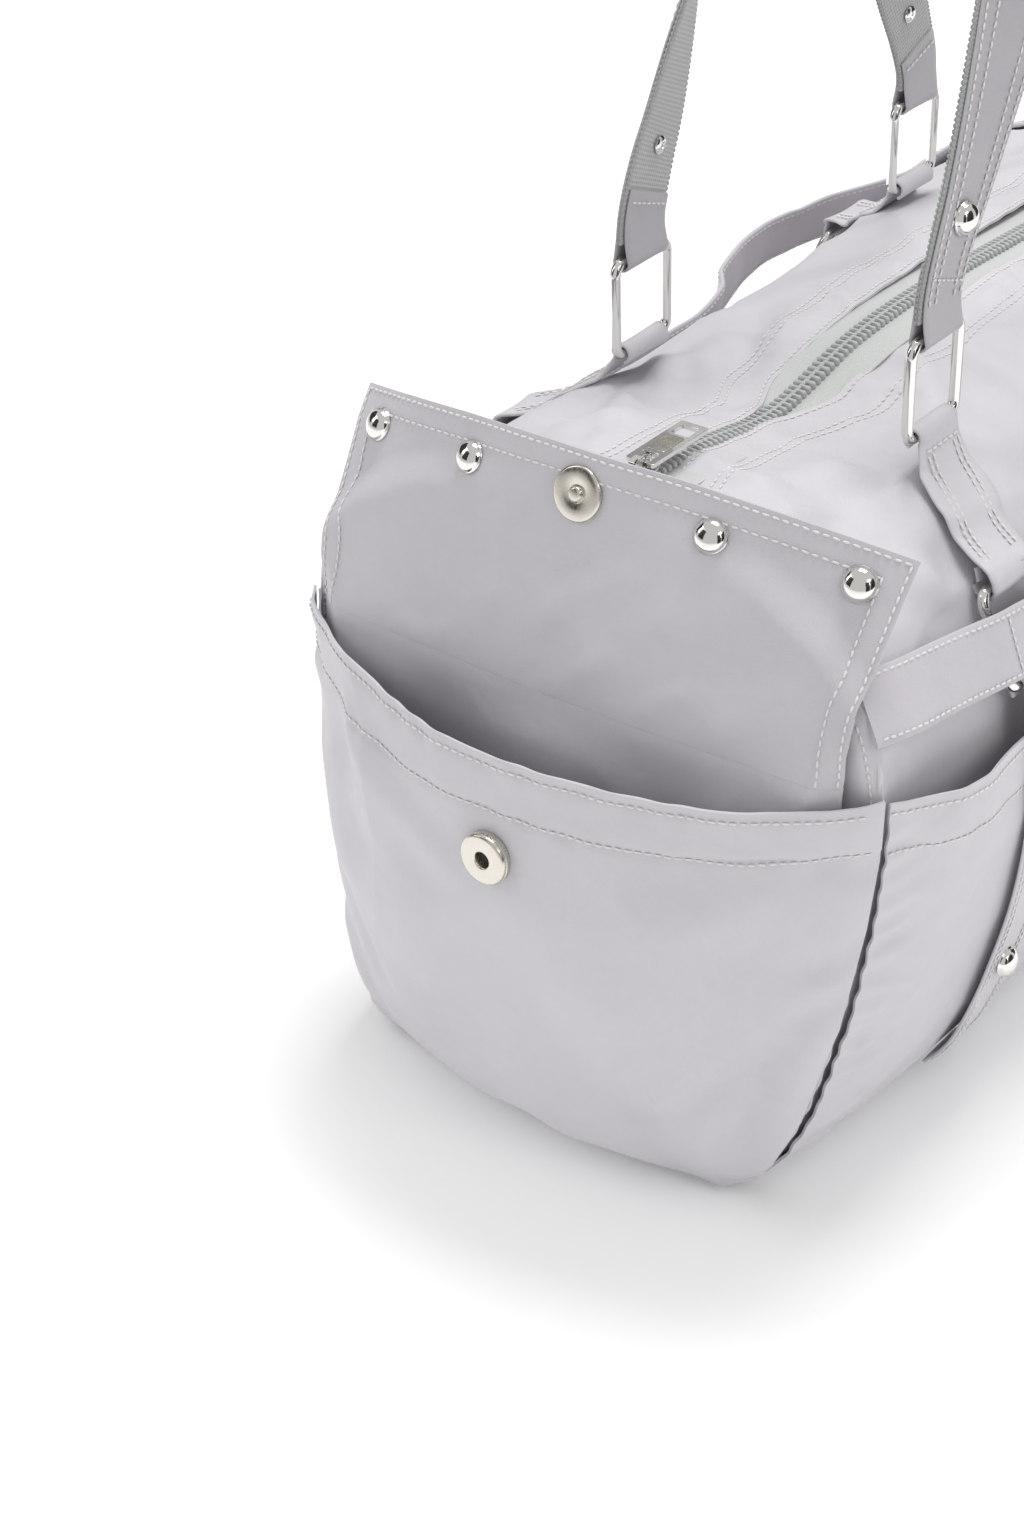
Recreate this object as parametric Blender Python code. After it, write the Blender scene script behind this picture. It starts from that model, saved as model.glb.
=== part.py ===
"""Soft nylon barrel bag: body panels, zip, end pocket with a folding flap, side pockets, belts, straps, rings
and two shoulder straps. Long axis along Y, pocket end towards -Y, up is +Z, base on z = 0."""

import math

import bmesh
import bpy
from mathutils import Vector

MM = 0.001

# Driving dimensions, in millimetres
GAP = 0.4
PANEL_T = 2.4
PANEL_END_Y = 206.6
END_Y = 207.0
END_BULGE = 16.0
# How far the top of each end leans back over the body, and the height where that starts
END_LEAN = 7.0
LEAN_Z = 188.0
# Outer outline of one side as (x, z), from the base edge to the zip: at mid length, and at the ends,
# where the bag has settled so that its lower corner is tucked in on the near side only
OUTLINE_MID = (
    (70.4, 0.4), (83, 5), (93, 16), (103, 40), (112, 86), (115, 130), (112, 158),
    (107, 180), (98, 202), (84, 219), (62, 234), (36, 241), (13, 243),
)
OUTLINE_END_NEAR = (
    (62.4, 0.4), (72, 6), (81, 18), (92, 43), (104, 88), (111, 130), (114, 158),
    (114.6, 181), (109, 203), (93, 220), (66, 234), (36, 241), (13, 243),
)
OUTLINE_END_FAR = (
    (86.4, 0.4), (97, 5), (104, 18), (109, 45), (114, 90), (116, 130), (116, 158),
    (114.6, 181), (109, 203), (93, 220), (66, 234), (36, 241), (13, 243),
)
TAPE_T = 1.0
TAPE_Z = 241.6
TAPE_IN = 3.7
TAPE_OUT = 12.6
TEETH_IN = 0.8
TEETH_OUT = 3.3
TEETH_Z = (240.2, 243.6)
TEETH_HALF_L = 194.0
TAPE_HALF_L = 199.0
SLIDER_Y = -175.0
SLIDER_HALF_L = 7.0
PULL_Z = 248.3
PULL_Y = SLIDER_Y + 0.5
POCKET_T = 2.0
POCKET_MOUTH_Z = 181.0
POCKET_DIP = 5.0
POCKET_OUT = 26.0
POCKET_SAG = 7.0
HINGE_Y = -223.0
HINGE_Z = 184.5
FLAP_T = 2.2
FLAP_HALF_W = 109.0
# The flap leans back in two parts, and its sides curve back behind its middle
BASE_LEN = 30.0
LIP_LEN = 54.5
BASE_LEAN = 12.0
LIP_LEAN = 16.0
FLAP_CURVE = (3.0, 5.5, 12.0)
STUD_DOWN = 14.0
SNAP_FEMALE_Z = 141.0
STUD_X = (-94.5, -47.0, 47.0, 94.5)
STUD_R = 5.9
STUD_H = 4.3
SNAP_R = 9.2
SIDE_MOUTH_Z = 178.0
BELT_W = 22.5
BELT_T = 1.8
BELT_END_Z = 208.0
BELT_MID_Z = 193.0
STRAP_W = 26.0
STRAP_T = 1.2
SIDE_RING_Y = 112.0
SIDE_RING_TOP = 209.0
TOP_RING_X = 59.0
TOP_RING_Y = 92.0
TOP_RING_Z = 243.8
RING_PITCH = 34.0
RING_HALF_W = 15.2
WIRE_R = 2.0
RING_CORNER = 4.5
LOOP_R = 3.1
HANDLE_TOP = 505.0
# The shoulder strap's line from ring to top, as (y, share of the rise)
ARCH = ((-84.5, 0.14), (-75.5, 0.22), (-59.0, 0.39), (-45.0, 0.56), (-29.0, 0.77), (-15.5, 0.93), (0.0, 1.0))
WEBBING_W = 25.0
FACING_W = 23.0
TAB_LEN = 22.0
STUD_AT = (38.0, 114.0)

NYLON = (0.55, 0.53, 0.58, 1.0)
NYLON_IN = (0.47, 0.45, 0.50, 1.0)
WEBBING = (0.42, 0.43, 0.42, 1.0)
CHROME = (0.80, 0.80, 0.80, 1.0)


def clear_scene():
    for obj in list(bpy.data.objects):
        bpy.data.objects.remove(obj, do_unlink=True)


def finish(name, bm, colour, metallic=0.0, smooth=False):
    """Turns a bmesh into one object with its own material, its faces pointing out."""
    bmesh.ops.recalc_face_normals(bm, faces=bm.faces)
    bmesh.ops.triangulate(bm, faces=bm.faces)
    mesh = bpy.data.meshes.new(name)
    bm.to_mesh(mesh)
    bm.free()
    if smooth:
        mesh.polygons.foreach_set("use_smooth", [True] * len(mesh.polygons))
    material = bpy.data.materials.new(name)
    material.use_nodes = True
    shader = material.node_tree.nodes["Principled BSDF"]
    shader.inputs["Base Color"].default_value = colour
    shader.inputs["Metallic"].default_value = metallic
    shader.inputs["Roughness"].default_value = 0.2 if metallic else 0.7
    mesh.materials.append(material)
    obj = bpy.data.objects.new(name, mesh)
    bpy.context.scene.collection.objects.link(obj)
    return obj


def add_verts(bm, points):
    return [bm.verts.new(Vector(p) * MM) for p in points]


def sheet(name, outer, inner, colour):
    """A closed thin body between two grids of points of the same size."""
    bm = bmesh.new()
    rows_out = [add_verts(bm, row) for row in outer]
    rows_in = [add_verts(bm, row) for row in inner]
    n = len(rows_out)
    m = len(rows_out[0])
    for i in range(n - 1):
        for j in range(m - 1):
            for rows in (rows_out, rows_in):
                bm.faces.new((rows[i][j], rows[i + 1][j], rows[i + 1][j + 1], rows[i][j + 1]))
    for i in range(n - 1):
        for j in (0, m - 1):
            bm.faces.new((rows_out[i][j], rows_out[i + 1][j], rows_in[i + 1][j], rows_in[i][j]))
    for j in range(m - 1):
        for i in (0, n - 1):
            bm.faces.new((rows_out[i][j], rows_out[i][j + 1], rows_in[i][j + 1], rows_in[i][j]))
    return finish(name, bm, colour)


def sweep(name, sections, colour, closed=False, metallic=0.0, smooth=False):
    """A body through sections that all have the same number of corners."""
    bm = bmesh.new()
    rings = [add_verts(bm, section) for section in sections]
    k = len(rings[0])
    pairs = list(zip(rings, rings[1:]))
    if closed:
        pairs.append((rings[-1], rings[0]))
    for first, second in pairs:
        for i in range(k):
            j = (i + 1) % k
            bm.faces.new((first[i], first[j], second[j], second[i]))
    if not closed:
        bm.faces.new(rings[0])
        bm.faces.new(rings[-1])
    return finish(name, bm, colour, metallic, smooth)


def lathe(name, profile, centre, axis, steps, colour, closed=False):
    """Turns (radius, height) pairs about an axis. A profile end at radius 0 closes on the axis."""
    axis = Vector(axis).normalized()
    side = axis.orthogonal().normalized()
    other = axis.cross(side)
    centre = Vector(centre)
    bm = bmesh.new()
    rings = []
    for radius, height in profile:
        if radius == 0:
            rings.append(add_verts(bm, [centre + axis * height]) * steps)
            continue
        ring = []
        for i in range(steps):
            a = 2 * math.pi * i / steps
            ring.append(centre + axis * height + (side * math.cos(a) + other * math.sin(a)) * radius)
        rings.append(add_verts(bm, ring))
    pairs = list(zip(rings, rings[1:]))
    if closed:
        pairs.append((rings[-1], rings[0]))
    for first, second in pairs:
        for i in range(steps):
            j = (i + 1) % steps
            corners = []
            for vert in (first[i], first[j], second[j], second[i]):
                if vert not in corners:
                    corners.append(vert)
            bm.faces.new(corners)
    return finish(name, bm, colour, 1.0, True)


def cell_plate(name, xs, ys, holes, z0, z1, colour):
    """A flat plate made of cells, with the named cells left out."""
    bm = bmesh.new()
    made = {}

    def vert(i, j, k):
        if (i, j, k) not in made:
            made[i, j, k] = add_verts(bm, [(xs[i], ys[j], (z0, z1)[k])])[0]
        return made[i, j, k]

    def solid(i, j):
        inside = 0 <= i < len(xs) - 1 and 0 <= j < len(ys) - 1
        return inside and (i, j) not in holes

    for i in range(len(xs) - 1):
        for j in range(len(ys) - 1):
            if not solid(i, j):
                continue
            for k in (0, 1):
                bm.faces.new((vert(i, j, k), vert(i + 1, j, k), vert(i + 1, j + 1, k), vert(i, j + 1, k)))
            edges = (
                ((i - 1, j), (i, j), (i, j + 1)),
                ((i + 1, j), (i + 1, j), (i + 1, j + 1)),
                ((i, j - 1), (i, j), (i + 1, j)),
                ((i, j + 1), (i, j + 1), (i + 1, j + 1)),
            )
            for beside, a, b in edges:
                if not solid(*beside):
                    bm.faces.new((vert(*a, 0), vert(*b, 0), vert(*b, 1), vert(*a, 1)))
    return finish(name, bm, colour, 1.0)


def blend(y):
    t = min(1.0, abs(y) / END_Y)
    return t * t * t


def outline_at(y, sign):
    """Outer outline (x, z) of one side at this station. x is the distance from the middle."""
    t = blend(y)
    end = OUTLINE_END_NEAR if sign > 0 else OUTLINE_END_FAR
    return [
        (a[0] + (b[0] - a[0]) * t, a[1] + (b[1] - a[1]) * t)
        for a, b in zip(OUTLINE_MID, end)
    ]


def lean(z):
    """How far this height of an end leans back."""
    t = min(1.0, max(0.0, (z - LEAN_Z) / (243.0 - LEAN_Z)))
    return END_LEAN * t * t * (3 - 2 * t)


def leaned(y, z):
    """A lengthwise position after the end has leaned back, which dies out towards mid length."""
    share = min(1.0, abs(y) / END_Y) ** 4
    return math.copysign(abs(y) - lean(z) * share, y)


def offset_outline(points, distance):
    """Moves each point of an outline along its outward normal."""
    moved = []
    last = len(points) - 1
    for i, (x, z) in enumerate(points):
        ax, az = points[max(0, i - 1)]
        bx, bz = points[min(last, i + 1)]
        length = math.hypot(bx - ax, bz - az)
        nx = (bz - az) / length
        nz = -(bx - ax) / length
        moved.append((x + nx * distance, z + nz * distance))
    return moved


def surface_x(z, y, distance=0.0, sign=1):
    """Outer x of the body at this height, moved outwards by a distance."""
    points = offset_outline(outline_at(y, sign), distance)
    for (ax, az), (bx, bz) in zip(points, points[1:]):
        if az <= z <= bz:
            return ax + (bx - ax) * (z - az) / (bz - az)
    return points[-1][0]


def surface_z(x, y, distance=0.0):
    """Outer z of the upper body at this x, moved outwards by a distance."""
    points = offset_outline(outline_at(y, 1), distance)
    for (ax, az), (bx, bz) in zip(points[6:], points[7:]):
        if bx <= x <= ax:
            return az + (bz - az) * (x - ax) / (bx - ax)
    return points[-1][1]


def panel_stations():
    return [PANEL_END_Y * k for k in (-1, -0.9, -0.75, -0.55, -0.3, 0, 0.3, 0.55, 0.75, 0.9, 1)]


def main_panel(name, sign):
    outer = []
    inner = []
    for y in panel_stations():
        points = outline_at(y, sign)
        shifted = offset_outline(points, -PANEL_T)
        shifted[0] = (points[0][0], points[0][1] + PANEL_T)
        shifted[-1] = (points[-1][0], points[-1][1] - PANEL_T)
        outer.append([(sign * x, leaned(y, z), z) for x, z in points])
        inner.append([(sign * x, leaned(y, b[1]), z) for (x, z), b in zip(shifted, points)])
    return sheet(name, outer, inner, NYLON)


def base_panel():
    outer = []
    inner = []
    for y in panel_stations():
        near = outline_at(y, 1)[0][0] - GAP
        far = -outline_at(y, -1)[0][0] + GAP
        outer.append([(x, y, 0) for x in (far, 0, near)])
        inner.append([(x, y, PANEL_T) for x in (far, 0, near)])
    return sheet("base_panel", outer, inner, NYLON)


def end_bulge(x, z):
    """How far the middle of an end stands out of its seam."""
    across = max(0.0, 1 - (x / 116.0) ** 2)
    up = max(0.0, 1 - ((z - 98.0) / 148.0) ** 2)
    return END_BULGE * across * up


def end_panel(name, sign):
    loop = outline_at(END_Y, 1) + [(-x, z) for x, z in reversed(outline_at(END_Y, -1))]
    bm = bmesh.new()
    centre = (0.0, 122.0)
    faces = []
    for back in (0.0, PANEL_T):
        rings = []
        for scale in (1.0, 0.72, 0.38):
            ring = []
            for x, z in loop:
                px = centre[0] + (x - centre[0]) * scale
                pz = centre[1] + (z - centre[1]) * scale
                ring.append((px, sign * (END_Y - lean(pz) + back + end_bulge(px, pz)), pz))
            rings.append(add_verts(bm, ring))
        middle = add_verts(bm, [(0, sign * (END_Y + back + end_bulge(*centre)), centre[1])])[0]
        n = len(loop)
        for first, second in zip(rings, rings[1:]):
            for i in range(n):
                bm.faces.new((first[i], first[(i + 1) % n], second[(i + 1) % n], second[i]))
        for i in range(n):
            bm.faces.new((rings[-1][i], rings[-1][(i + 1) % n], middle))
        faces.append(rings[0])
    n = len(loop)
    for i in range(n):
        j = (i + 1) % n
        bm.faces.new((faces[0][i], faces[0][j], faces[1][j], faces[1][i]))
    return finish(name, bm, NYLON)


def end_front(x, z):
    """Outer face of the front end, as a distance along -Y."""
    return END_Y + PANEL_T + end_bulge(x, z)


def end_half_width(z, sign):
    points = outline_at(END_Y, sign)
    for (ax, az), (bx, bz) in zip(points, points[1:]):
        if az <= z <= bz:
            return ax + (bx - ax) * (z - az) / (bz - az)
    return points[0][0]


def pocket_out(u, z):
    """How far the pocket stands off the end: nothing at its seam, and most where it sags above mid height."""
    rise = max(0.0, min(1.0, (z - 3.0) / 36.0))
    belly = math.sin(rise * math.pi / 2) ** 0.7
    sag = POCKET_SAG * math.exp(-(((z - 115.0) / 50.0) ** 2))
    return (POCKET_OUT + sag) * belly * (1 - abs(u) ** 3.0)


def end_pocket():
    us = [-1, -0.9, -0.75, -0.55, -0.3, 0, 0.3, 0.55, 0.75, 0.9, 1]
    levels = [0, 0.04, 0.1, 0.2, 0.36, 0.55, 0.75, 0.9, 1]
    outer = []
    inner = []
    for v in levels:
        row_out = []
        row_in = []
        for u in us:
            top = POCKET_MOUTH_Z - POCKET_DIP * (1 - u * u)
            z = 3.0 + (top - 3.0) * v
            x = end_half_width(z, u) * u
            stand = end_front(x, z) + GAP + pocket_out(u, z)
            row_in.append((x, -stand, z))
            row_out.append((x, -stand - POCKET_T, z))
        outer.append(row_out)
        inner.append(row_in)
    return sheet("end_pocket", outer, inner, NYLON)


def pocket_face(x, z):
    return end_front(x, z) + GAP + pocket_out(x / end_half_width(z, x), z) + POCKET_T


def flap_direction(degrees):
    """Unit vectors up the flap and out of its inner face, where it leans back by this angle."""
    a = math.radians(degrees)
    return Vector((0, math.sin(a), math.cos(a))), Vector((0, -math.cos(a), math.sin(a)))


def flap_fold():
    up, _ = flap_direction(BASE_LEAN)
    return Vector((0, HINGE_Y, HINGE_Z)) + up * BASE_LEN


def flap_part(name, root, degrees, s0, s1, halves, curves):
    up, face = flap_direction(degrees)
    outer = []
    inner = []
    for s, half, curve in zip((s0, s1), halves, curves):
        row = []
        for u in (-1, -0.75, -0.4, 0, 0.4, 0.75, 1):
            row.append(root + up * s + Vector((half * u, 0, 0)) - face * (curve * u * u))
        inner.append(row)
        outer.append([point - face * FLAP_T for point in row])
    return sheet(name, outer, inner, NYLON_IN)


def flap():
    w = FLAP_HALF_W
    root, middle, top = FLAP_CURVE
    hinge = Vector((0, HINGE_Y, HINGE_Z))
    fold = flap_fold()
    flap_part("flap_base", hinge, BASE_LEAN, GAP, BASE_LEN - 0.6, (w - 4, w - 1), (root, middle))
    flap_part("flap_lip", fold, LIP_LEAN, 0.6, LIP_LEN, (w - 1, w), (middle, top))
    up, face = flap_direction(LIP_LEAN)
    at = LIP_LEN - STUD_DOWN
    curve = middle + (top - middle) * at / LIP_LEN
    row = fold + up * at
    dome = ((0, STUD_H), (STUD_R * 0.5, STUD_H * 0.87), (STUD_R * 0.87, STUD_H * 0.5), (STUD_R, 0), (0, 0))
    for i, x in enumerate(STUD_X):
        behind = curve * (x / w) ** 2
        slope = 2 * curve * x / w**2
        axis = (face + Vector((slope, 0, 0))).normalized()
        centre = row + Vector((x, 0, 0)) - face * behind + axis * 0.9
        lathe(f"flap_stud_{i + 1}", dome, centre, axis, 14, CHROME)
    post = ((0, 3.1), (1.9, 3.1), (2.3, 2.7), (2.3, 1.7), (SNAP_R - 0.5, 1.7), (SNAP_R, 1.3), (SNAP_R, 0), (0, 0))
    lathe("snap_male", post, row + face * 0.3, face, 20, CHROME)


def snap_female():
    z = SNAP_FEMALE_Z
    steep = math.atan2(pocket_face(0, z - 8) - pocket_face(0, z + 8), 16.0)
    axis = Vector((0, -math.cos(steep), math.sin(steep)))
    centre = Vector((0, -pocket_face(0, z), z)) + axis * 0.9
    ring = ((3.2, 0), (3.2, 3.6), (SNAP_R - 0.5, 3.6), (SNAP_R, 3.1), (SNAP_R, 0.5), (SNAP_R - 0.5, 0))
    lathe("snap_female", ring, centre, axis, 20, CHROME, closed=True)


def side_out(y, z):
    """How far a side pocket stands off the side: held at the ends and under the straps, loose between."""
    along = abs(abs(y) - SIDE_RING_Y) / 47.0
    loose = 5.0 + 6.0 * min(1.0, along) ** 2
    end = min(1.0, (PANEL_END_Y - abs(y)) / 30.0)
    rise = max(0.0, min(1.0, (z - 8.0) / (SIDE_MOUTH_Z - 25.0)))
    return GAP + (loose * end) * rise


def side_mouth(y):
    return 160.0 + (SIDE_MOUTH_Z - 160.0) * min(1.0, abs(abs(y) - SIDE_RING_Y) / 94.0) ** 1.3


def side_pocket(name, sign):
    stations = (-205, -190, -162, -128, -112, -96, -50, 0, 50, 96, 112, 128, 162, 190, 205)
    outer = []
    inner = []
    for y in stations:
        row_out = []
        row_in = []
        for v in (0, 0.06, 0.2, 0.5, 0.8, 1):
            z = 7.0 + (side_mouth(y) - 7.0) * v
            out = side_out(y, z)
            row_in.append((sign * surface_x(z, y, out, sign), y, z))
            row_out.append((sign * surface_x(z, y, out + POCKET_T, sign), y, z))
        outer.append(row_out)
        inner.append(row_in)
    return sheet(name, outer, inner, NYLON)


def belt_swell(y, sign):
    """How far the slack of the belt has gathered: mid-way on the near side, towards the rear on the far side."""
    if sign > 0:
        t = min(1.0, max(0.0, (SIDE_RING_Y - 18.0 - abs(y)) / (SIDE_RING_Y - 18.0)))
        return math.sin(t * math.pi / 2) ** 1.5
    return math.sin(min(1.0, max(0.0, (y - 10.0) / 165.0)) * math.pi) ** 1.5


def belt_out(y, sign):
    """Offset of the belt's inner face: against the body at the ends, over the side rings, slack between them."""
    a = abs(y)
    over_ring = 9.0
    flush = 2.2
    if a > SIDE_RING_Y:
        t = max(0.0, min(1.0, (a - SIDE_RING_Y - 20.0) / (END_Y - SIDE_RING_Y - 30.0)))
        base = over_ring + (flush - over_ring) * t
    else:
        t = min(1.0, max(0.0, (SIDE_RING_Y - 18.0 - a) / 30.0)) if sign < 0 and y < 40 else 0.0
        base = over_ring - 5.0 * t
    return base + (20.0 if sign > 0 else 17.0) * belt_swell(y, sign)


def belt_z(y, sign):
    t = min(1.0, max(0.0, (abs(y) - SIDE_RING_Y) / (END_Y - SIDE_RING_Y)))
    lift = 8.0 * belt_swell(y, sign) if sign < 0 else 0.0
    return BELT_MID_Z + (BELT_END_Z - BELT_MID_Z) * t + lift


def belt(name, sign):
    half = (201, 185, 165, 145, 130, 112, 94, 75, 50, 25)
    stations = [-y for y in half] + [0] + list(reversed(half))
    outer = []
    inner = []
    for y in stations:
        z = belt_z(y, sign)
        loose = min(1.0, max(0.0, (SIDE_RING_Y - abs(y)) / 50.0))
        row_out = []
        row_in = []
        middle = surface_x(z, y, belt_out(y, sign))
        for dz in (-BELT_W / 2, 0, BELT_W / 2):
            close = surface_x(z + dz, y, belt_out(y, sign))
            x = close + (middle - close) * loose * 0.7
            row_in.append((sign * x, y, z + dz))
            row_out.append((sign * (x + BELT_T), y, z + dz))
        outer.append(row_out)
        inner.append(row_in)
    return sheet(name, outer, inner, NYLON)


def ribbon(name, path, widths, thickness, colour):
    """A flat strap along points, with a width vector at each point."""
    sections = []
    last = len(path) - 1
    for i, point in enumerate(path):
        along = (path[min(last, i + 1)] - path[max(0, i - 1)]).normalized()
        across = widths[i]
        thick = along.cross(across.normalized()) * (thickness / 2)
        half = across / 2
        sections.append((point - half - thick, point + half - thick, point + half + thick, point - half + thick))
    return sweep(name, sections, colour)


def rect_ring(name, centre, across, up, half_w, half_h, colour):
    """A rounded rectangle of round wire."""
    centre = Vector(centre)
    across = Vector(across).normalized()
    up = Vector(up).normalized()
    normal = across.cross(up)
    sections = []
    for cx, cz, start in ((1, 1, 0), (-1, 1, 90), (-1, -1, 180), (1, -1, 270)):
        for step in (0, 45, 90):
            a = math.radians(start + step)
            px = cx * (half_w - RING_CORNER) + RING_CORNER * math.cos(a)
            pz = cz * (half_h - RING_CORNER) + RING_CORNER * math.sin(a)
            out = across * math.cos(a) + up * math.sin(a)
            middle = centre + across * px + up * pz
            section = []
            for k in range(8):
                b = 2 * math.pi * k / 8
                section.append(middle + (out * math.cos(b) + normal * math.sin(b)) * WIRE_R)
            sections.append(section)
    return sweep(name, sections, colour, closed=True, metallic=1.0, smooth=True)


def side_frame(y):
    """Where a side ring's two bars sit: their (x, z) and the direction between them."""
    low_z = SIDE_RING_TOP - RING_PITCH + 1.2
    top = Vector((surface_x(SIDE_RING_TOP, y, 5.0), SIDE_RING_TOP))
    low = Vector((surface_x(low_z, y, 6.0), low_z))
    up = (top - low).normalized()
    low = top - up * RING_PITCH
    return top, low, up


def arc_points(centre, radius, start, end, steps):
    found = []
    for i in range(steps + 1):
        a = math.radians(start + (end - start) * i / steps)
        found.append((centre[0] + radius * math.cos(a), centre[1] + radius * math.sin(a)))
    return found


def upper_strap(name, sx, sy):
    """From the inner foot, over the top ring's lower bar, down the shoulder and round the side ring's top bar."""
    bar = (TOP_RING_X, TOP_RING_Z)
    top, low, up = side_frame(SIDE_RING_Y)
    lean = math.degrees(math.atan2(up[1], up[0]))
    flat = [(bar[0] - LOOP_R - 2.5, surface_z(bar[0] - LOOP_R - 2.5, TOP_RING_Y, 1.2))]
    flat += arc_points(bar, LOOP_R, 180, 0, 6)
    for x in (66, 73, 81, 88):
        flat.append((x, surface_z(x, TOP_RING_Y, 2.6)))
    out = lean - 90
    flat.append((top[0] + LOOP_R * math.cos(math.radians(out)) + up[0] * 5, top[1] + LOOP_R * math.sin(math.radians(out)) + up[1] * 5))
    flat += arc_points(top, LOOP_R, out, out - 180, 6)
    end = flat[-1]
    flat.append((end[0] + up[0] * 5, end[1] + up[1] * 5))
    path = []
    for i, (x, z) in enumerate(flat):
        t = min(1.0, max(0.0, (x - bar[0] - 3) / (top[0] - bar[0] - 3)))
        path.append(Vector((sx * x, sy * (TOP_RING_Y + (SIDE_RING_Y - TOP_RING_Y) * t), z)))
    widths = [Vector((0, 23.5, 0))] * len(path)
    return ribbon(name, path, widths, STRAP_T, NYLON)


def lower_strap(name, sx, sy):
    """From under the side ring's lower bar, round it, and down over the side pocket to the base seam."""
    top, low, up = side_frame(SIDE_RING_Y)
    lean = math.degrees(math.atan2(up[1], up[0]))
    out = lean - 90
    inner = arc_points(low, LOOP_R, out + 180, out, 6)
    flat = [(inner[0][0] - up[0] * 4, inner[0][1] - up[1] * 4)]
    flat += inner
    for z in (162, 150, 120, 90, 60, 30, 16, 7):
        out_by = side_out(SIDE_RING_Y, z) + POCKET_T + 2.5
        flat.append((surface_x(z, SIDE_RING_Y, out_by, sx), z))
    path = [Vector((sx * x, sy * SIDE_RING_Y, z)) for x, z in flat]
    widths = [Vector((0, 23.5, 0))] * len(path)
    return ribbon(name, path, widths, STRAP_T, NYLON)


def lower_stud(name, sx, sy):
    z = 57.0
    out_by = side_out(SIDE_RING_Y, z) + POCKET_T + 2.5 + STRAP_T / 2 + 1.5
    x = surface_x(z, SIDE_RING_Y, out_by, sx)
    dome = ((0, STUD_H), (STUD_R * 0.5, STUD_H * 0.87), (STUD_R * 0.87, STUD_H * 0.5), (STUD_R, 0), (0, 0))
    return lathe(name, dome, (sx * x, sy * SIDE_RING_Y, z), (sx, 0, 0), 14, CHROME)


def arch_points():
    """The shoulder strap's line above the rings, in (y, z), as a smooth arch sampled evenly enough."""
    bar = TOP_RING_Z + RING_PITCH
    line = [(-TOP_RING_Y, bar), (-TOP_RING_Y, bar + 9), (1.4 - TOP_RING_Y, bar + 17)]
    line += [(y, bar + up * (HANDLE_TOP - bar)) for y, up in ARCH]
    full = [Vector(p) for p in line]
    full += [Vector((-p[0], p[1])) for p in reversed(full[:-1])]
    found = []
    for i in range(len(full) - 1):
        before = full[max(0, i - 1)]
        after = full[min(len(full) - 1, i + 2)]
        lead = (full[i + 1] - before) / 2
        tail = (after - full[i]) / 2
        for step in range(3):
            t = step / 3
            a = 2 * t ** 3 - 3 * t * t + 1
            b = t ** 3 - 2 * t * t + t
            c = -2 * t ** 3 + 3 * t * t
            d = t ** 3 - t * t
            found.append(full[i] * a + lead * b + full[i + 1] * c + tail * d)
    return found + [full[-1]]


class Arch:
    """Positions and directions along a shoulder strap, by distance from the front ring's upper bar."""

    def __init__(self, sx):
        self.sx = sx
        self.line = arch_points()
        self.at = [0.0]
        for a, b in zip(self.line, self.line[1:]):
            self.at.append(self.at[-1] + (b - a).length)
        self.length = self.at[-1]

    def point(self, s):
        if s <= 0:
            along = (self.line[1] - self.line[0]).normalized()
            return self.line[0] + along * s, along
        if s >= self.length:
            along = (self.line[-1] - self.line[-2]).normalized()
            return self.line[-1] + along * (s - self.length), along
        i = max(k for k, at in enumerate(self.at) if at <= s)
        i = min(i, len(self.line) - 2)
        t = (s - self.at[i]) / (self.at[i + 1] - self.at[i])
        here = self.line[i].lerp(self.line[i + 1], t)
        before = self.line[max(0, i - 1)]
        after = self.line[min(len(self.line) - 1, i + 2)]
        first = (self.line[i + 1] - before).normalized()
        second = (after - self.line[i]).normalized()
        return here, (first * (1 - t) + second * t).normalized()

    def frame(self, s):
        """The point, the strap's outward normal and its width direction."""
        (y, z), (ty, tz) = self.point(s)
        along = Vector((0, ty, tz))
        in_plane = Vector((0, -tz, ty))
        t = min(1.0, max(0.0, (min(s, self.length - s) - 10.0) / (self.length / 2 - 30.0)))
        twist = math.radians(88.0) * (t * t * (3 - 2 * t))
        normal = Vector((self.sx, 0, 0)) * math.cos(twist) + in_plane * math.sin(twist)
        return Vector((self.sx * TOP_RING_X, y, z)), normal, along.cross(normal)


def strap_body(name, arch, track, width, thickness, colour):
    """A strap along (distance, offset) pairs of an arch."""
    path = []
    widths = []
    for s, n in track:
        point, normal, across = arch.frame(s)
        path.append(point + normal * n)
        widths.append(across * width)
    return ribbon(name, path, widths, thickness, colour)


def cut_holes(obj, arch, places):
    """Cuts a round hole through a strap at each place."""
    bm = bmesh.new()
    for s in places:
        point, normal, across = arch.frame(s)
        side = across.cross(normal)
        rings = []
        for h in (-4, 4):
            ring = []
            for k in range(10):
                a = 2 * math.pi * k / 10
                ring.append(point + normal * h + (across * math.cos(a) + side * math.sin(a)) * 1.9)
            rings.append(add_verts(bm, ring))
        for k in range(10):
            bm.faces.new((rings[0][k], rings[0][(k + 1) % 10], rings[1][(k + 1) % 10], rings[1][k]))
        bm.faces.new(rings[0])
        bm.faces.new(rings[1])
    cutter = finish(obj.name + "_holes", bm, CHROME)
    cutter.hide_render = True
    cutter.display_type = "WIRE"
    cut = obj.modifiers.new("holes", "BOOLEAN")
    cut.operation = "DIFFERENCE"
    cut.solver = "EXACT"
    cut.object = cutter


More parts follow.
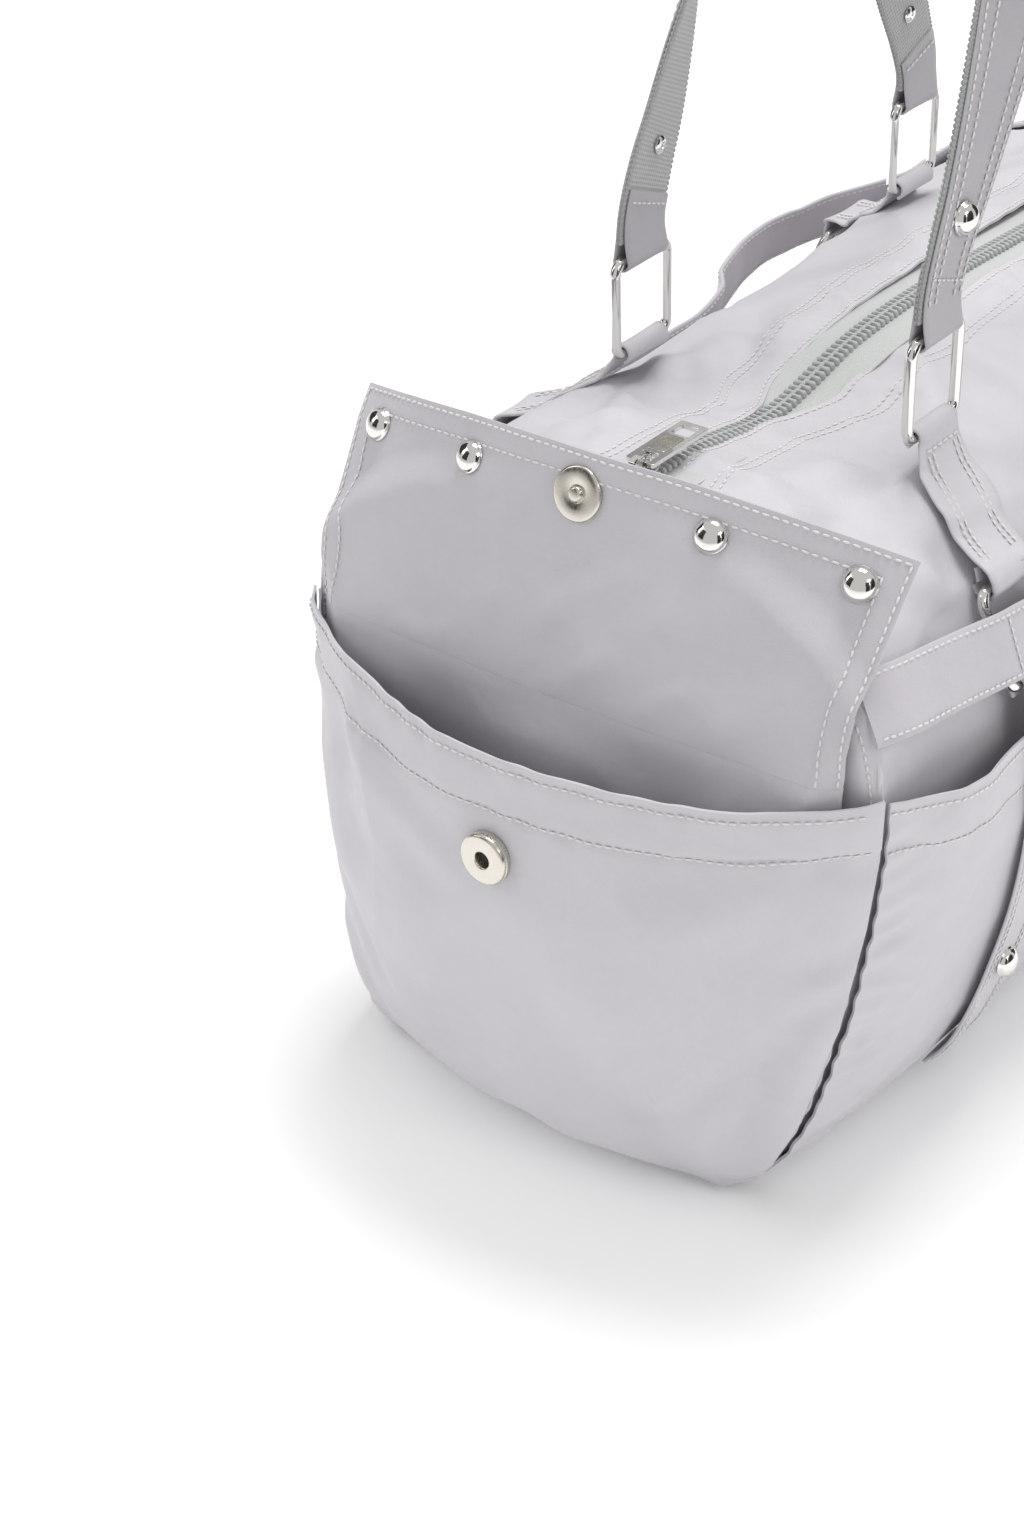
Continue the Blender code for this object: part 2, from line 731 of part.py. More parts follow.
def handle(side, sx):
    arch = Arch(sx)
    length = arch.length
    places = [STUD_AT[0], STUD_AT[1], length - STUD_AT[1], length - STUD_AT[0]]
    count = 38
    shared = [14.0 + (length - 28.0) * i / count for i in range(count + 1)]
    track = [(s, 0.0) for s in [7.0] + shared + [length - 7.0]]
    webbing = strap_body(f"handle_webbing_{side}", arch, track, WEBBING_W, 1.6, WEBBING)
    cut_holes(webbing, arch, places)

    def end_track():
        steps = [(TAB_LEN, -1.6), (14.0, -1.6), (6.5, -1.8)]
        for i in range(7):
            a = math.radians(180 + 30 * i)
            steps.append((LOOP_R * math.sin(a), LOOP_R * math.cos(a)))
        steps.append((6.5, 1.8))
        return steps

    first = end_track()
    last = [(length - s, n) for s, n in reversed(first)]
    middle = [(s, 1.6) for s in shared]
    facing = strap_body(f"handle_facing_{side}", arch, first + middle + last, FACING_W, 0.9, NYLON)
    cut_holes(facing, arch, places)
    profile = (
        (0, STUD_H + 3.1), (STUD_R * 0.5, STUD_H * 0.87 + 3.1), (STUD_R * 0.87, STUD_H * 0.5 + 3.1),
        (STUD_R, 3.1), (1.3, 3.1), (1.3, -1.9), (3.2, -1.9), (2.8, -2.7), (0, -2.9),
    )
    for i, s in enumerate(places):
        point, normal, across = arch.frame(s)
        lathe(f"handle_stud_{side}_{i + 1}", profile, point, normal, 12, CHROME)


def rings():
    for side, sx in (("near", 1), ("far", -1)):
        for end, sy in (("front", -1), ("rear", 1)):
            middle = (sx * TOP_RING_X, sy * TOP_RING_Y, TOP_RING_Z + RING_PITCH / 2)
            half_h = RING_PITCH / 2
            rect_ring(f"top_ring_{end}_{side}", middle, (0, 1, 0), (0, 0, 1), RING_HALF_W, half_h, CHROME)
            top, low, up = side_frame(SIDE_RING_Y)
            x = (top[0] + low[0]) / 2
            z = (top[1] + low[1]) / 2
            centre = (sx * x, sy * SIDE_RING_Y, z)
            rect_ring(f"side_ring_{end}_{side}", centre, (0, 1, 0), (sx * up[0], 0, up[1]), RING_HALF_W, half_h, CHROME)
            upper_strap(f"upper_strap_{end}_{side}", sx, sy)
            lower_strap(f"lower_strap_{end}_{side}", sx, sy)
            lower_stud(f"lower_stud_{end}_{side}", sx, sy)


def zip_parts():
    for side, sx in (("near", 1), ("far", -1)):
        low = TAPE_Z - TAPE_T / 2
        high = TAPE_Z + TAPE_T / 2
        corners = ((TAPE_IN, low), (TAPE_OUT, low), (TAPE_OUT, high), (TAPE_IN, high))
        section = [[(sx * x, y, z) for x, z in corners] for y in (-TAPE_HALF_L, TAPE_HALF_L)]
        sweep(f"zip_tape_{side}", section, WEBBING)
        corners = ((TEETH_IN, TEETH_Z[0]), (TEETH_OUT, TEETH_Z[0]), (TEETH_OUT, TEETH_Z[1]), (TEETH_IN, TEETH_Z[1]))
        section = [[(sx * x, y, z) for x, z in corners] for y in (-TEETH_HALF_L, TEETH_HALF_L)]
        sweep(f"zip_teeth_{side}", section, WEBBING)


def zip_slider():
    sections = []
    for y, half, web in ((-7, 3.0, 0.5), (-4.5, 5.0, 0.5), (4.5, 4.2, 0.5), (7, 3.4, 0.5)):
        corners = (
            (-half, 245.8), (-half, 244.1), (-web, 244.1), (-web, 239.7), (-half, 239.7), (-half, 238.2),
            (half, 238.2), (half, 239.7), (web, 239.7), (web, 244.1), (half, 244.1), (half, 245.8),
        )
        sections.append([(x, SLIDER_Y + y, z) for x, z in corners])
    body = sweep("zip_slider", sections, CHROME, metallic=1.0)
    path = [(-4.6, 245.0), (-4.2, 248.6), (-2.6, 250.4), (2.6, 250.4), (4.2, 248.6), (4.6, 245.0)]
    bail_sections = []
    for i, (y, z) in enumerate(path):
        ay, az = path[max(0, i - 1)]
        by, bz = path[min(len(path) - 1, i + 1)]
        length = math.hypot(by - ay, bz - az)
        ny = -(bz - az) / length * 0.65
        nz = (by - ay) / length * 0.65
        bail_sections.append([
            (-1.2, SLIDER_Y + y - ny, z - nz), (1.2, SLIDER_Y + y - ny, z - nz),
            (1.2, SLIDER_Y + y + ny, z + nz), (-1.2, SLIDER_Y + y + ny, z + nz),
        ])
    bail = sweep("zip_bail", bail_sections, CHROME, metallic=1.0)
    bail.hide_render = True
    bail.display_type = "WIRE"
    join = body.modifiers.new("bail", "BOOLEAN")
    join.operation = "UNION"
    join.solver = "EXACT"
    join.object = bail


def zip_pull():
    xs = (-5.4, -3.4, 3.4, 5.4)
    ys = [PULL_Y + d for d in (-0.9, 0.9, 7.5, 20.5, 29.0, 31.0)]
    cell_plate("zip_pull", xs, ys, {(1, 1), (1, 3)}, PULL_Z - 0.8, PULL_Z + 0.8, CHROME)


def build():
    clear_scene()
    main_panel("main_panel_near", 1)
    main_panel("main_panel_far", -1)
    base_panel()
    end_panel("end_panel_front", -1)
    end_panel("end_panel_rear", 1)
    zip_parts()
    zip_slider()
    zip_pull()
    end_pocket()
    flap()
    snap_female()
    side_pocket("side_pocket_near", 1)
    side_pocket("side_pocket_far", -1)
    belt("belt_near", 1)
    belt("belt_far", -1)
    rings()
    handle("near", 1)
    handle("far", -1)


build()
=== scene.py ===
"""Soft nylon barrel bag on a pale floor: the fabric, stitching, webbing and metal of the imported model."""

import math

import bmesh
import bpy
import numpy as np
from mathutils import Matrix, Vector


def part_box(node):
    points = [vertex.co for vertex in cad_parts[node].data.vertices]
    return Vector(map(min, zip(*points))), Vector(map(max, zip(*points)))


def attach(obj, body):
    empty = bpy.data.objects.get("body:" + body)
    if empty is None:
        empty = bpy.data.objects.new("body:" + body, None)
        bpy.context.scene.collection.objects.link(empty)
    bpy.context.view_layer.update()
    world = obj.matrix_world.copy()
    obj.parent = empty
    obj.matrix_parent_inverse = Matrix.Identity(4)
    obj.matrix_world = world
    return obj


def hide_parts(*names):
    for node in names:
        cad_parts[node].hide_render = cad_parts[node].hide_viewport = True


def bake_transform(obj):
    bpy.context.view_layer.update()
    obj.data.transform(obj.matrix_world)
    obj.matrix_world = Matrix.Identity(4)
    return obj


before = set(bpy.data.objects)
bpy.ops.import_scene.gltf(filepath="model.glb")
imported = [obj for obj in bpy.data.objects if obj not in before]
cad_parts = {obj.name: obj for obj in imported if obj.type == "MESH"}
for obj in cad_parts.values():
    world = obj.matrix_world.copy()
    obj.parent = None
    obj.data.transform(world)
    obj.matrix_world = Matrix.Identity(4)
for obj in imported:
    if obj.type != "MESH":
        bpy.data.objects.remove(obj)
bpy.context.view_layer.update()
MM = 0.001
TAU = 2 * math.pi
Y_AXIS = np.array([0.0, 1.0, 0.0])
SIDES = (("near", 1), ("far", -1))

# ---------------------------------------------------------------- dimensions shared with the CAD, in mm
MID = ((0, 0.5), (36, 0.5), (70, 0.8), (83, 5), (93, 16), (103, 40), (112, 86), (115, 130), (112, 158),
       (107, 180), (98, 202), (84, 219), (62, 234), (36, 241), (13, 243))
END_NEAR = ((0, 0.5), (32, 0.5), (61, 0.8), (72, 6), (81, 18), (92, 43), (104, 88), (111, 130), (114, 158),
            (114.6, 181), (109, 203), (93, 220), (66, 234), (36, 241), (13, 243))
END_FAR = ((0, 0.5), (45, 0.5), (85, 0.8), (97, 5), (104, 18), (109, 45), (114, 90), (116, 130), (116, 158),
           (114.6, 181), (109, 203), (93, 220), (66, 234), (36, 241), (13, 243))
END_Y = 207.0
HINGE = (-223.0, 184.5)
BASE_LEN, LIP_LEN, STUD_DOWN = 30.0, 54.5, 14.0
BASE_LEAN, LIP_LEAN = 12.0, 16.0
RING_X, RING_Y, RING_Z, PITCH = 59.0, 92.0, 243.8, 34.0
SIDE_RING_Y, SIDE_RING_TOP = 112.0, 209.0
SLIDER_Y = -175.0
LOOP_R = 3.1
CORE = np.array([0, 0, 120.0])  # a point well inside the bag, to tell outside from inside
SMOOTH_ANGLE = 55
SEAM_Y = 206.4  # where the side pockets and belts end
POCKET_FOOT, POCKET_TOP, POCKET_DIP = 3.0, 181.0, 5.0
EDGE_ROW, HEM = 3.6, 19.0  # how far a pocket's two stitch rows lie below its mouth
STRAP_TOP = 505.0


# ---------------------------------------------------------------- small maths
def ramp(a, b, x):
    t = np.clip((np.asarray(x, float) - a) / (b - a), 0, 1)
    return t * t * (3 - 2 * t)


def bell(x, c, w):
    return np.exp(-(((np.asarray(x, float) - c) / w) ** 2))


def share(x):
    """x kept between 0 and 1."""
    return min(1.0, max(0.0, x))


def unit(v):
    return v / np.maximum(np.linalg.norm(v, axis=-1, keepdims=True), 1e-9)


def waves(p, scale, seed, n=12, squeeze=(1, 1, 1)):
    """Smooth pseudo-random field over points in mm, roughly -1 to 1."""
    rng = np.random.default_rng(seed)
    k = unit(rng.normal(size=(n, 3))) * (TAU / scale) * rng.uniform(0.6, 1.35, (n, 1)) * np.array(squeeze)
    phase = rng.uniform(0, TAU, n)
    return np.cos(p @ k.T + phase).sum(-1) * math.sqrt(2.0 / n) * 0.6


def creases(p, scale, seed, squeeze=(1, 1, 1)):
    """Sharp-crested field, as crisp fabric folds, 0 to 1."""
    return 1 - np.clip(np.abs(waves(p, scale, seed, 10, squeeze)) * 1.6, 0, 1) ** 0.7


def catmull(c, t):
    """c (..., n, d) control points, t (m) positions in 0..n-1. Returns (..., m, d)."""
    n = c.shape[-2]
    i = np.clip(np.floor(t).astype(int), 0, n - 2)
    f = (t - i)[:, None]
    a = c[..., np.maximum(i - 1, 0), :]
    b = c[..., i, :]
    d = c[..., i + 1, :]
    e = c[..., np.minimum(i + 2, n - 1), :]
    m0 = (d - a) / 2
    m1 = (e - b) / 2
    ends = (2 * f**3 - 3 * f**2 + 1) * b + (f**3 - 2 * f**2 + f) * m0
    return ends + (3 * f**2 - 2 * f**3) * d + (f**3 - f**2) * m1


def along(points):
    """Running length of a polyline."""
    step = np.linalg.norm(np.diff(points, axis=0), axis=-1)
    return np.concatenate([[0.0], np.cumsum(step)])


def resample(points, count=None, pitch=None):
    points = np.asarray(points, float)
    s = along(points)
    if count is None:
        count = max(2, int(round(s[-1] / pitch)) + 1)
    at = np.linspace(0, s[-1], count)
    return np.stack([np.interp(at, s, points[:, k]) for k in range(points.shape[1])], -1)


def smooth_line(points, pitch):
    points = np.asarray(points, float)
    t = np.linspace(0, len(points) - 1, len(points) * 8)
    return resample(catmull(points, t), pitch=pitch)


def grid_normals(p):
    return unit(np.cross(np.gradient(p, axis=0), np.gradient(p, axis=1)))


# ---------------------------------------------------------------- making meshes
def linked(name, data):
    obj = bpy.data.objects.new(name, data)
    bpy.context.scene.collection.objects.link(obj)
    return obj


def mesh_object(name, verts, faces, material, uv=None):
    mesh = bpy.data.meshes.new(name)
    mesh.from_pydata((np.asarray(verts, float) * MM).tolist(), [], faces)
    if uv is not None:
        layer = mesh.uv_layers.new(name="UVMap")
        loops = np.empty(len(mesh.loops), np.int32)
        mesh.loops.foreach_get("vertex_index", loops)
        layer.data.foreach_set("uv", (np.asarray(uv, np.float32)[loops] * MM).ravel())
    mesh.validate()
    mesh.polygons.foreach_set("use_smooth", [True] * len(mesh.polygons))
    mesh.set_sharp_from_angle(angle=math.radians(SMOOTH_ANGLE))
    mesh.materials.append(material)
    return linked(name, mesh)


def quads(n, m, base=0, flip=False):
    i, j = np.meshgrid(np.arange(n - 1), np.arange(m - 1), indexing="ij")
    a = (base + i * m + j).ravel()
    q = np.stack([a, a + m, a + m + 1, a + 1], -1)
    return (q[:, ::-1] if flip else q).tolist()


def tube(n, k, closed=False):
    """Faces of a tube of n rings with k points each. closed joins its last ring to its first."""
    faces = []
    for i in range(n if closed else n - 1):
        a, b = i * k, (i + 1) % n * k
        for j in range(k):
            m = (j + 1) % k
            faces.append((a + j, a + m, b + m, b + j))
    return faces


def caps(n, k):
    """Faces that close both ends of such a tube."""
    return [tuple(range(k))[::-1], tuple((n - 1) * k + j for j in range(k))]


def cloth(name, p, thick, material, out):
    """A thin closed sheet: p is its outer face, and out says which side of the grid is outside."""
    n, m = p.shape[:2]
    nrm = grid_normals(p) * out
    back = p - nrm * thick
    verts = np.concatenate([p.reshape(-1, 3), back.reshape(-1, 3)])
    total = n * m
    faces = quads(n, m, 0, out < 0) + quads(n, m, total, out > 0)
    rim = [i * m for i in range(n)] + [(n - 1) * m + j for j in range(1, m)]
    rim += [i * m + m - 1 for i in range(n - 2, -1, -1)] + [j for j in range(m - 2, 0, -1)]
    for a, b in zip(rim, rim[1:] + rim[:1]):
        quad = (a, a + total, b + total, b)
        faces.append(quad if out < 0 else quad[::-1])
    u = np.concatenate([np.zeros((1, m)), np.cumsum(np.linalg.norm(np.diff(p, axis=0), axis=-1), 0)])
    v = np.concatenate([np.zeros((n, 1)), np.cumsum(np.linalg.norm(np.diff(p, axis=1), axis=-1), 1)], 1)
    uv = np.stack([u, v], -1).reshape(-1, 2)
    return mesh_object(name, verts, faces, material, np.concatenate([uv, uv]))


def strap(name, path, across, width, thick, material, crown=0.0, wobble=0.0, seed=1):
    """A flat strap with rounded edges along a path. width may be one number or one for each point."""
    n = len(path)
    width = np.broadcast_to(np.asarray(width, float), (n,))
    tangent = unit(np.gradient(path, axis=0))
    across = unit(across - (across * tangent).sum(-1, keepdims=True) * tangent)
    up = np.cross(tangent, across)
    flat = np.linspace(-1, 1, 9)
    shape = [(f, 1.0) for f in flat] + [(1.0, c) for c in (0.35, -0.35)]
    shape += [(f, -1.0) for f in flat[::-1]] + [(-1.0, c) for c in (-0.35, 0.35)]
    s = along(path)
    verts = []
    uv = []
    half = thick / 2
    for k, (a, b) in enumerate(shape):
        edge = abs(a) > 0.99
        inset = half * (0.6 if edge and abs(b) > 0.9 else 0.0)
        bow = crown * (1 - a * a)
        lift = wobble * waves(np.stack([s, s * 0 + a * 9, s * 0], -1), 22, seed, 6) * (1 - 0.4 * a * a)
        w = (width / 2 - inset) * a
        verts.append(path + across * w[:, None] + up * (b * half + bow + lift)[:, None])
        uv.append(np.stack([s, w + (60 if b < 0 else 0)], -1))
    k = len(shape)
    verts = np.stack(verts, 1).reshape(-1, 3)
    uv = np.stack(uv, 1).reshape(-1, 2)
    return mesh_object(name, verts, tube(n, k) + caps(n, k), material, uv)


def turned(name, profile, centre, axis, material, steps=40, ring=False):
    """(radius, height) pairs turned about an axis. ring closes the profile on itself."""
    axis = unit(np.asarray(axis, float))
    side = unit(np.cross(axis, [0.31, 0.52, 0.79]))
    other = np.cross(axis, side)
    angle = np.arange(steps) * TAU / steps
    spokes = np.cos(angle)[:, None] * side + np.sin(angle)[:, None] * other
    verts = np.concatenate([np.asarray(centre, float) + axis * h + max(r, 0.001) * spokes for r, h in profile])
    k = len(profile)
    faces = [(a, d, c, b) for a, b, c, d in tube(k, steps, ring)]
    if not ring:
        faces += [cap[::-1] for cap in caps(k, steps)]
    return mesh_object(name, verts, faces, material)


def join_meshes(name, parts, material):
    """parts: (verts, faces) pairs, joined into one mesh."""
    verts = []
    faces = []
    base = 0
    for v, f in parts:
        verts.append(v)
        faces += [tuple(int(x) + base for x in q) for q in f]
        base += len(v)
    return mesh_object(name, np.concatenate(verts), faces, material)


def beads(lines, pitch, length, radius, flatness=0.75, lift=0.1, seed=3):
    """Small capsules along lines of (points, normals): stitches, or the loops of a woven edge."""
    ring = np.array([(math.cos(TAU * k / 6), math.sin(TAU * k / 6)) for k in range(6)])
    a = [-0.5, -0.34, 0.0, 0.34, 0.5]
    r = [0.0, 0.8, 1.0, 0.8, 0.0]
    template = [(-0.5, 0, 0)]
    for k in (1, 2, 3):
        template += [(a[k], ring[q, 0] * r[k], ring[q, 1] * r[k]) for q in range(6)]
    template += [(0.5, 0, 0)]
    template = np.array(template)
    faces = []
    for q in range(6):
        w = (q + 1) % 6
        faces.append((0, 1 + w, 1 + q, 1 + q))
        for k in (0, 1):
            faces.append((1 + k * 6 + q, 1 + k * 6 + w, 7 + k * 6 + w, 7 + k * 6 + q))
        faces.append((13 + q, 13 + w, 19, 19))
    faces = [tuple(dict.fromkeys(f)) for f in faces]
    rng = np.random.default_rng(seed)
    parts = []
    for points, normals in lines:
        both = resample(np.concatenate([points, normals], -1), pitch=pitch)
        q, nrm = both[:, :3], unit(both[:, 3:])
        if len(q) < 3:
            continue
        mid = (q[1:] + q[:-1]) / 2
        t = unit(q[1:] - q[:-1])
        nn = unit(nrm[1:] + nrm[:-1])
        side = np.cross(nn, t)
        tilt = rng.normal(0, 0.05, len(mid))
        t2 = unit(t + side * tilt[:, None])
        side = np.cross(nn, t2)
        size = length * rng.uniform(0.93, 1.05, len(mid))
        v = (mid[:, None] + t2[:, None] * (template[None, :, :1] * size[:, None, None])
             + side[:, None] * (template[None, :, 1:2] * radius)
             + nn[:, None] * (template[None, :, 2:3] * radius * flatness + lift))
        arch = (1 - (template[:, 0] * 2) ** 2) * radius * 0.35
        v = v + nn[:, None] * arch[None, :, None]
        for one in v:
            parts.append((one, faces))
    return parts


def stitches(name, lines, body, pitch=3.3, length=2.7, radius=0.33, lift=0.1):
    place(join_meshes(name, beads(lines, pitch, length, radius * 1.3, lift=lift), THREAD), body, "nylon")


def cross_row(point, across, normal, half, lift, count):
    """A row of stitches from side to side of a strap."""
    w = np.linspace(-half, half, count)[:, None]
    return point + across * w + normal * lift, np.tile(normal, (count, 1))


def place(piece, body, slot, *nodes):
    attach(piece, body)
    if nodes:
        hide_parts(*nodes)


def in_bag(piece, slot, *nodes):
    place(piece, "bag", slot, *nodes)


def row(p, nrm, axis, distance, lo=0.0, hi=1.0):
    """A line on a grid, at a distance from one of its edges. axis 0 measures down the first index, 2 from its far end,
    1 along the second index and 3 from its far end. lo and hi trim its two ends."""
    if axis in (2, 3):
        p = p[::-1] if axis == 2 else p[:, ::-1]
        nrm = nrm[::-1] if axis == 2 else nrm[:, ::-1]
    if axis in (1, 3):
        p = p.transpose(1, 0, 2)
        nrm = nrm.transpose(1, 0, 2)
    step = np.linalg.norm(np.diff(p, axis=0), axis=-1)
    s = np.concatenate([np.zeros((1, p.shape[1])), np.cumsum(step, 0)])
    q = np.empty((p.shape[1], 6))
    for j in range(p.shape[1]):
        for k in range(3):
            q[j, k] = np.interp(distance, s[:, j], p[:, j, k])
            q[j, 3 + k] = np.interp(distance, s[:, j], nrm[:, j, k])
    a, b = int(lo * (len(q) - 1)), int(round(hi * (len(q) - 1))) + 1
    return q[a:b, :3], q[a:b, 3:]


# ---------------------------------------------------------------- materials
def new_material(name, colour, rough, metallic=0.0, specular=0.5):
    material = bpy.data.materials.new(name)
    material.use_nodes = True
    nodes = material.node_tree.nodes
    shader = nodes["Principled BSDF"]
    shader.inputs["Base Color"].default_value = (*colour, 1)
    shader.inputs["Roughness"].default_value = rough
    shader.inputs["Metallic"].default_value = metallic
    shader.inputs["Specular IOR Level"].default_value = specular
    return material, material.node_tree, shader


def node(tree, kind, **values):
    made = tree.nodes.new(kind)
    for key, value in values.items():
        if key in made.inputs:
            made.inputs[key].default_value = value
        else:
            setattr(made, key, value)
    return made


def math_node(tree, operation, a, b=None):
    made = tree.nodes.new("ShaderNodeMath")
    made.operation = operation
    for slot_index, value in enumerate((a, b)):
        if value is None:
            continue
        if hasattr(value, "links"):
            tree.links.new(value, made.inputs[slot_index])
        else:
            made.inputs[slot_index].default_value = value
    return made.outputs[0]


def texture(tree, kind, space, **values):
    """A texture over the object's own coordinates, or over its UV map."""
    made = node(tree, kind, **values)
    coord = tree.nodes.get("Texture Coordinate") or node(tree, "ShaderNodeTexCoord")
    tree.links.new(coord.outputs[space], made.inputs["Vector"])
    return made.outputs["Fac"]


def noise(tree, scale, detail, **values):
    return texture(tree, "ShaderNodeTexNoise", "Object", Scale=scale, Detail=detail, **values)


def yarns(tree, scale, direction):
    return texture(tree, "ShaderNodeTexWave", "UV", Scale=scale, Distortion=0.0, bands_direction=direction)


def blended(tree, a, a_share, b, b_share):
    return math_node(tree, "ADD", math_node(tree, "MULTIPLY", a, a_share), math_node(tree, "MULTIPLY", b, b_share))


def paint(tree, shader, value, deep, colour, low=0.0, high=1.0):
    """The base colour runs from deep to colour as the value rises from low to high."""
    made = node(tree, "ShaderNodeValToRGB")
    for stop, at, rgb in zip(made.color_ramp.elements, (low, high), (deep, colour)):
        stop.position = at
        stop.color = (*rgb, 1)
    tree.links.new(value, made.inputs["Fac"])
    tree.links.new(made.outputs["Color"], shader.inputs["Base Color"])


def emboss(tree, shader, height, strength, distance):
    bump = node(tree, "ShaderNodeBump", Strength=strength, Distance=distance)
    tree.links.new(height, bump.inputs["Height"])
    tree.links.new(bump.outputs["Normal"], shader.inputs["Normal"])


def roughen(tree, shader, value, low, high, start=0.0, stop=1.0):
    uneven = node(tree, "ShaderNodeMapRange")
    for key, number in (("From Min", start), ("From Max", stop), ("To Min", low), ("To Max", high)):
        uneven.inputs[key].default_value = number
    tree.links.new(value, uneven.inputs["Value"])
    tree.links.new(uneven.outputs["Result"], shader.inputs["Roughness"])


def nylon(name, colour, deep, rough=0.46):
    """Crisp plain-weave nylon: fine weave, faint crinkle, a soft sheen and slightly uneven colour."""
    material, tree, shader = new_material(name, colour, rough, specular=0.32)
    broad = noise(tree, 14.0, 3.0, Roughness=0.55)
    fine = noise(tree, 170.0, 4.0, Roughness=0.6)
    wrinkle = noise(tree, 55.0, 5.0, Roughness=0.62, Distortion=0.8)
    paint(tree, shader, blended(tree, broad, 0.7, fine, 0.3), deep, colour, 0.3, 0.72)
    weave = math_node(tree, "MULTIPLY", yarns(tree, 620.0, "X"), yarns(tree, 620.0, "Y"))
    emboss(tree, shader, blended(tree, wrinkle, 1.0, weave, 0.10), 0.35, 0.0012)
    roughen(tree, shader, wrinkle, rough - 0.05, rough + 0.07)
    shader.inputs["Sheen Weight"].default_value = 0.18
    shader.inputs["Sheen Roughness"].default_value = 0.35
    shader.inputs["Sheen Tint"].default_value = (0.95, 0.93, 1.0, 1)
    return material


def woven(name, colour, deep, period=1.25, depth=0.5):
    """Ribbed webbing or zip tape: rows of crossing yarns."""
    material, tree, shader = new_material(name, colour, 0.78, specular=0.25)
    scale = 314.16 / period  # the wave repeats every 0.314 m at a scale of 1
    cell = blended(tree, yarns(tree, scale, "X"), 0.55, yarns(tree, scale * 1.15, "Y"), 0.45)
    cell = math_node(tree, "ADD", cell, math_node(tree, "MULTIPLY", noise(tree, 900.0, 3.0), 0.25))
    paint(tree, shader, cell, deep, colour, 0.25, 0.8)
    emboss(tree, shader, cell, depth, 0.0005)
    shader.inputs["Sheen Weight"].default_value = 0.15
    return material


def metal(name, colour, rough):
    """Polished nickel plate with faint handling marks."""
    material, tree, shader = new_material(name, colour, rough, 1.0)
    roughen(tree, shader, noise(tree, 240.0, 4.0, Roughness=0.7), rough * 0.7, rough * 1.5, 0.35, 0.75)
    return material


def thread_material(name, colour, deep):
    material, tree, shader = new_material(name, colour, 0.6, specular=0.3)
    twist = noise(tree, 1500.0, 2.0)
    paint(tree, shader, twist, deep, colour)
    emboss(tree, shader, twist, 0.4, 0.0002)
    return material


NYLON = nylon("nylon_outer", (0.60, 0.588, 0.61), (0.555, 0.54, 0.57))
# a darker copy of the outer nylon: painted shade for the flap, the lining under it and the belts
NYLON_SHADED = nylon("nylon_inner", (0.555, 0.535, 0.565), (0.505, 0.485, 0.52), 0.5)
# a still darker copy of the same nylon: painted shade for the handles' facing
NYLON_STRAP_SHADED = nylon("nylon_strap_painted_shade", (0.47, 0.455, 0.475), (0.42, 0.405, 0.43), 0.5)
THREAD = thread_material("sewing_thread", (0.78, 0.77, 0.76), (0.62, 0.61, 0.60))
WEBBING = woven("webbing", (0.47, 0.48, 0.47), (0.36, 0.37, 0.36), 1.5)
TAPE = woven("zip_tape", (0.57, 0.58, 0.57), (0.50, 0.51, 0.50), 0.9, 0.3)
TEETH = thread_material("zip_teeth", (0.50, 0.51, 0.505), (0.42, 0.43, 0.425))
CHROME = metal("polished_nickel", (0.80, 0.79, 0.765), 0.08)
NICKEL = metal("satin_nickel", (0.68, 0.645, 0.58), 0.24)
# near black: painted shade for holes
HOLE_SHADOW = new_material("hole_shadow", (0.05, 0.05, 0.05), 0.8)[0]


# ---------------------------------------------------------------- the body's shape
def zip_half(y):
    """Half the width between the two fabric edges over the zip."""
    y = np.asarray(y, float)
    gap = 3.2 + 9.8 * ramp(-106, -74, y) + 3.0 * bell(y, -176, 13)
    return gap - 1.0 * (1 - ramp(-206, -190, y)) - 7.0 * ramp(180, 205, y)


def zip_dip(y):
    """The zip line sags behind its slider and lifts a little further on."""
    return 8.0 * bell(y, -98, 36) + 2.5 * bell(y, 110, 50) - 2.0 * bell(y, -10, 50)


def end_table(sign):
    return np.array(END_NEAR if sign > 0 else END_FAR, float)


def outline(y, t, sign):
    """Points (x, z) round one side, for stations y and positions t along the control points."""
    y = np.atleast_1d(np.asarray(y, float))
    k = np.minimum(1, np.abs(y) / END_Y)[:, None, None] ** 3
    c = np.array(MID, float) * (1 - k) + end_table(sign) * k
    dip = zip_dip(y)
    c[:, -1, 0] = zip_half(y)
    c[:, -1, 1] -= dip - 0.4
    c[:, -2, 1] -= dip * 0.85
    c[:, -3, 1] -= dip * 0.3
    return catmull(c, np.asarray(t, float))


def lean(z):
    """How far the top of an end leans back over the body."""
    return 7.0 * ramp(188, 243, z)


def leaned(y, z):
    return y - np.sign(y) * lean(z) * np.minimum(1, np.abs(y) / END_Y) ** 4


def cad_outline(y, sign):
    k = min(1.0, abs(y) / END_Y) ** 3
    return np.array(MID[2:], float) * (1 - k) + end_table(sign)[2:] * k


def offset(points, distance):
    a = np.vstack([points[:1], points[:-1]])
    b = np.vstack([points[1:], points[-1:]])
    d = unit(b - a)
    return points + np.stack([d[:, 1], -d[:, 0]], -1) * distance


def surface_x(z, y, distance=0.0, sign=1):
    q = offset(cad_outline(y, sign), distance)
    return float(np.interp(z, q[:, 1], q[:, 0]))


def surface_z(x, y, distance=0.0):
    q = offset(cad_outline(y, 1), distance)[6:]
    return float(np.interp(-x, -q[:, 0], q[:, 1]))


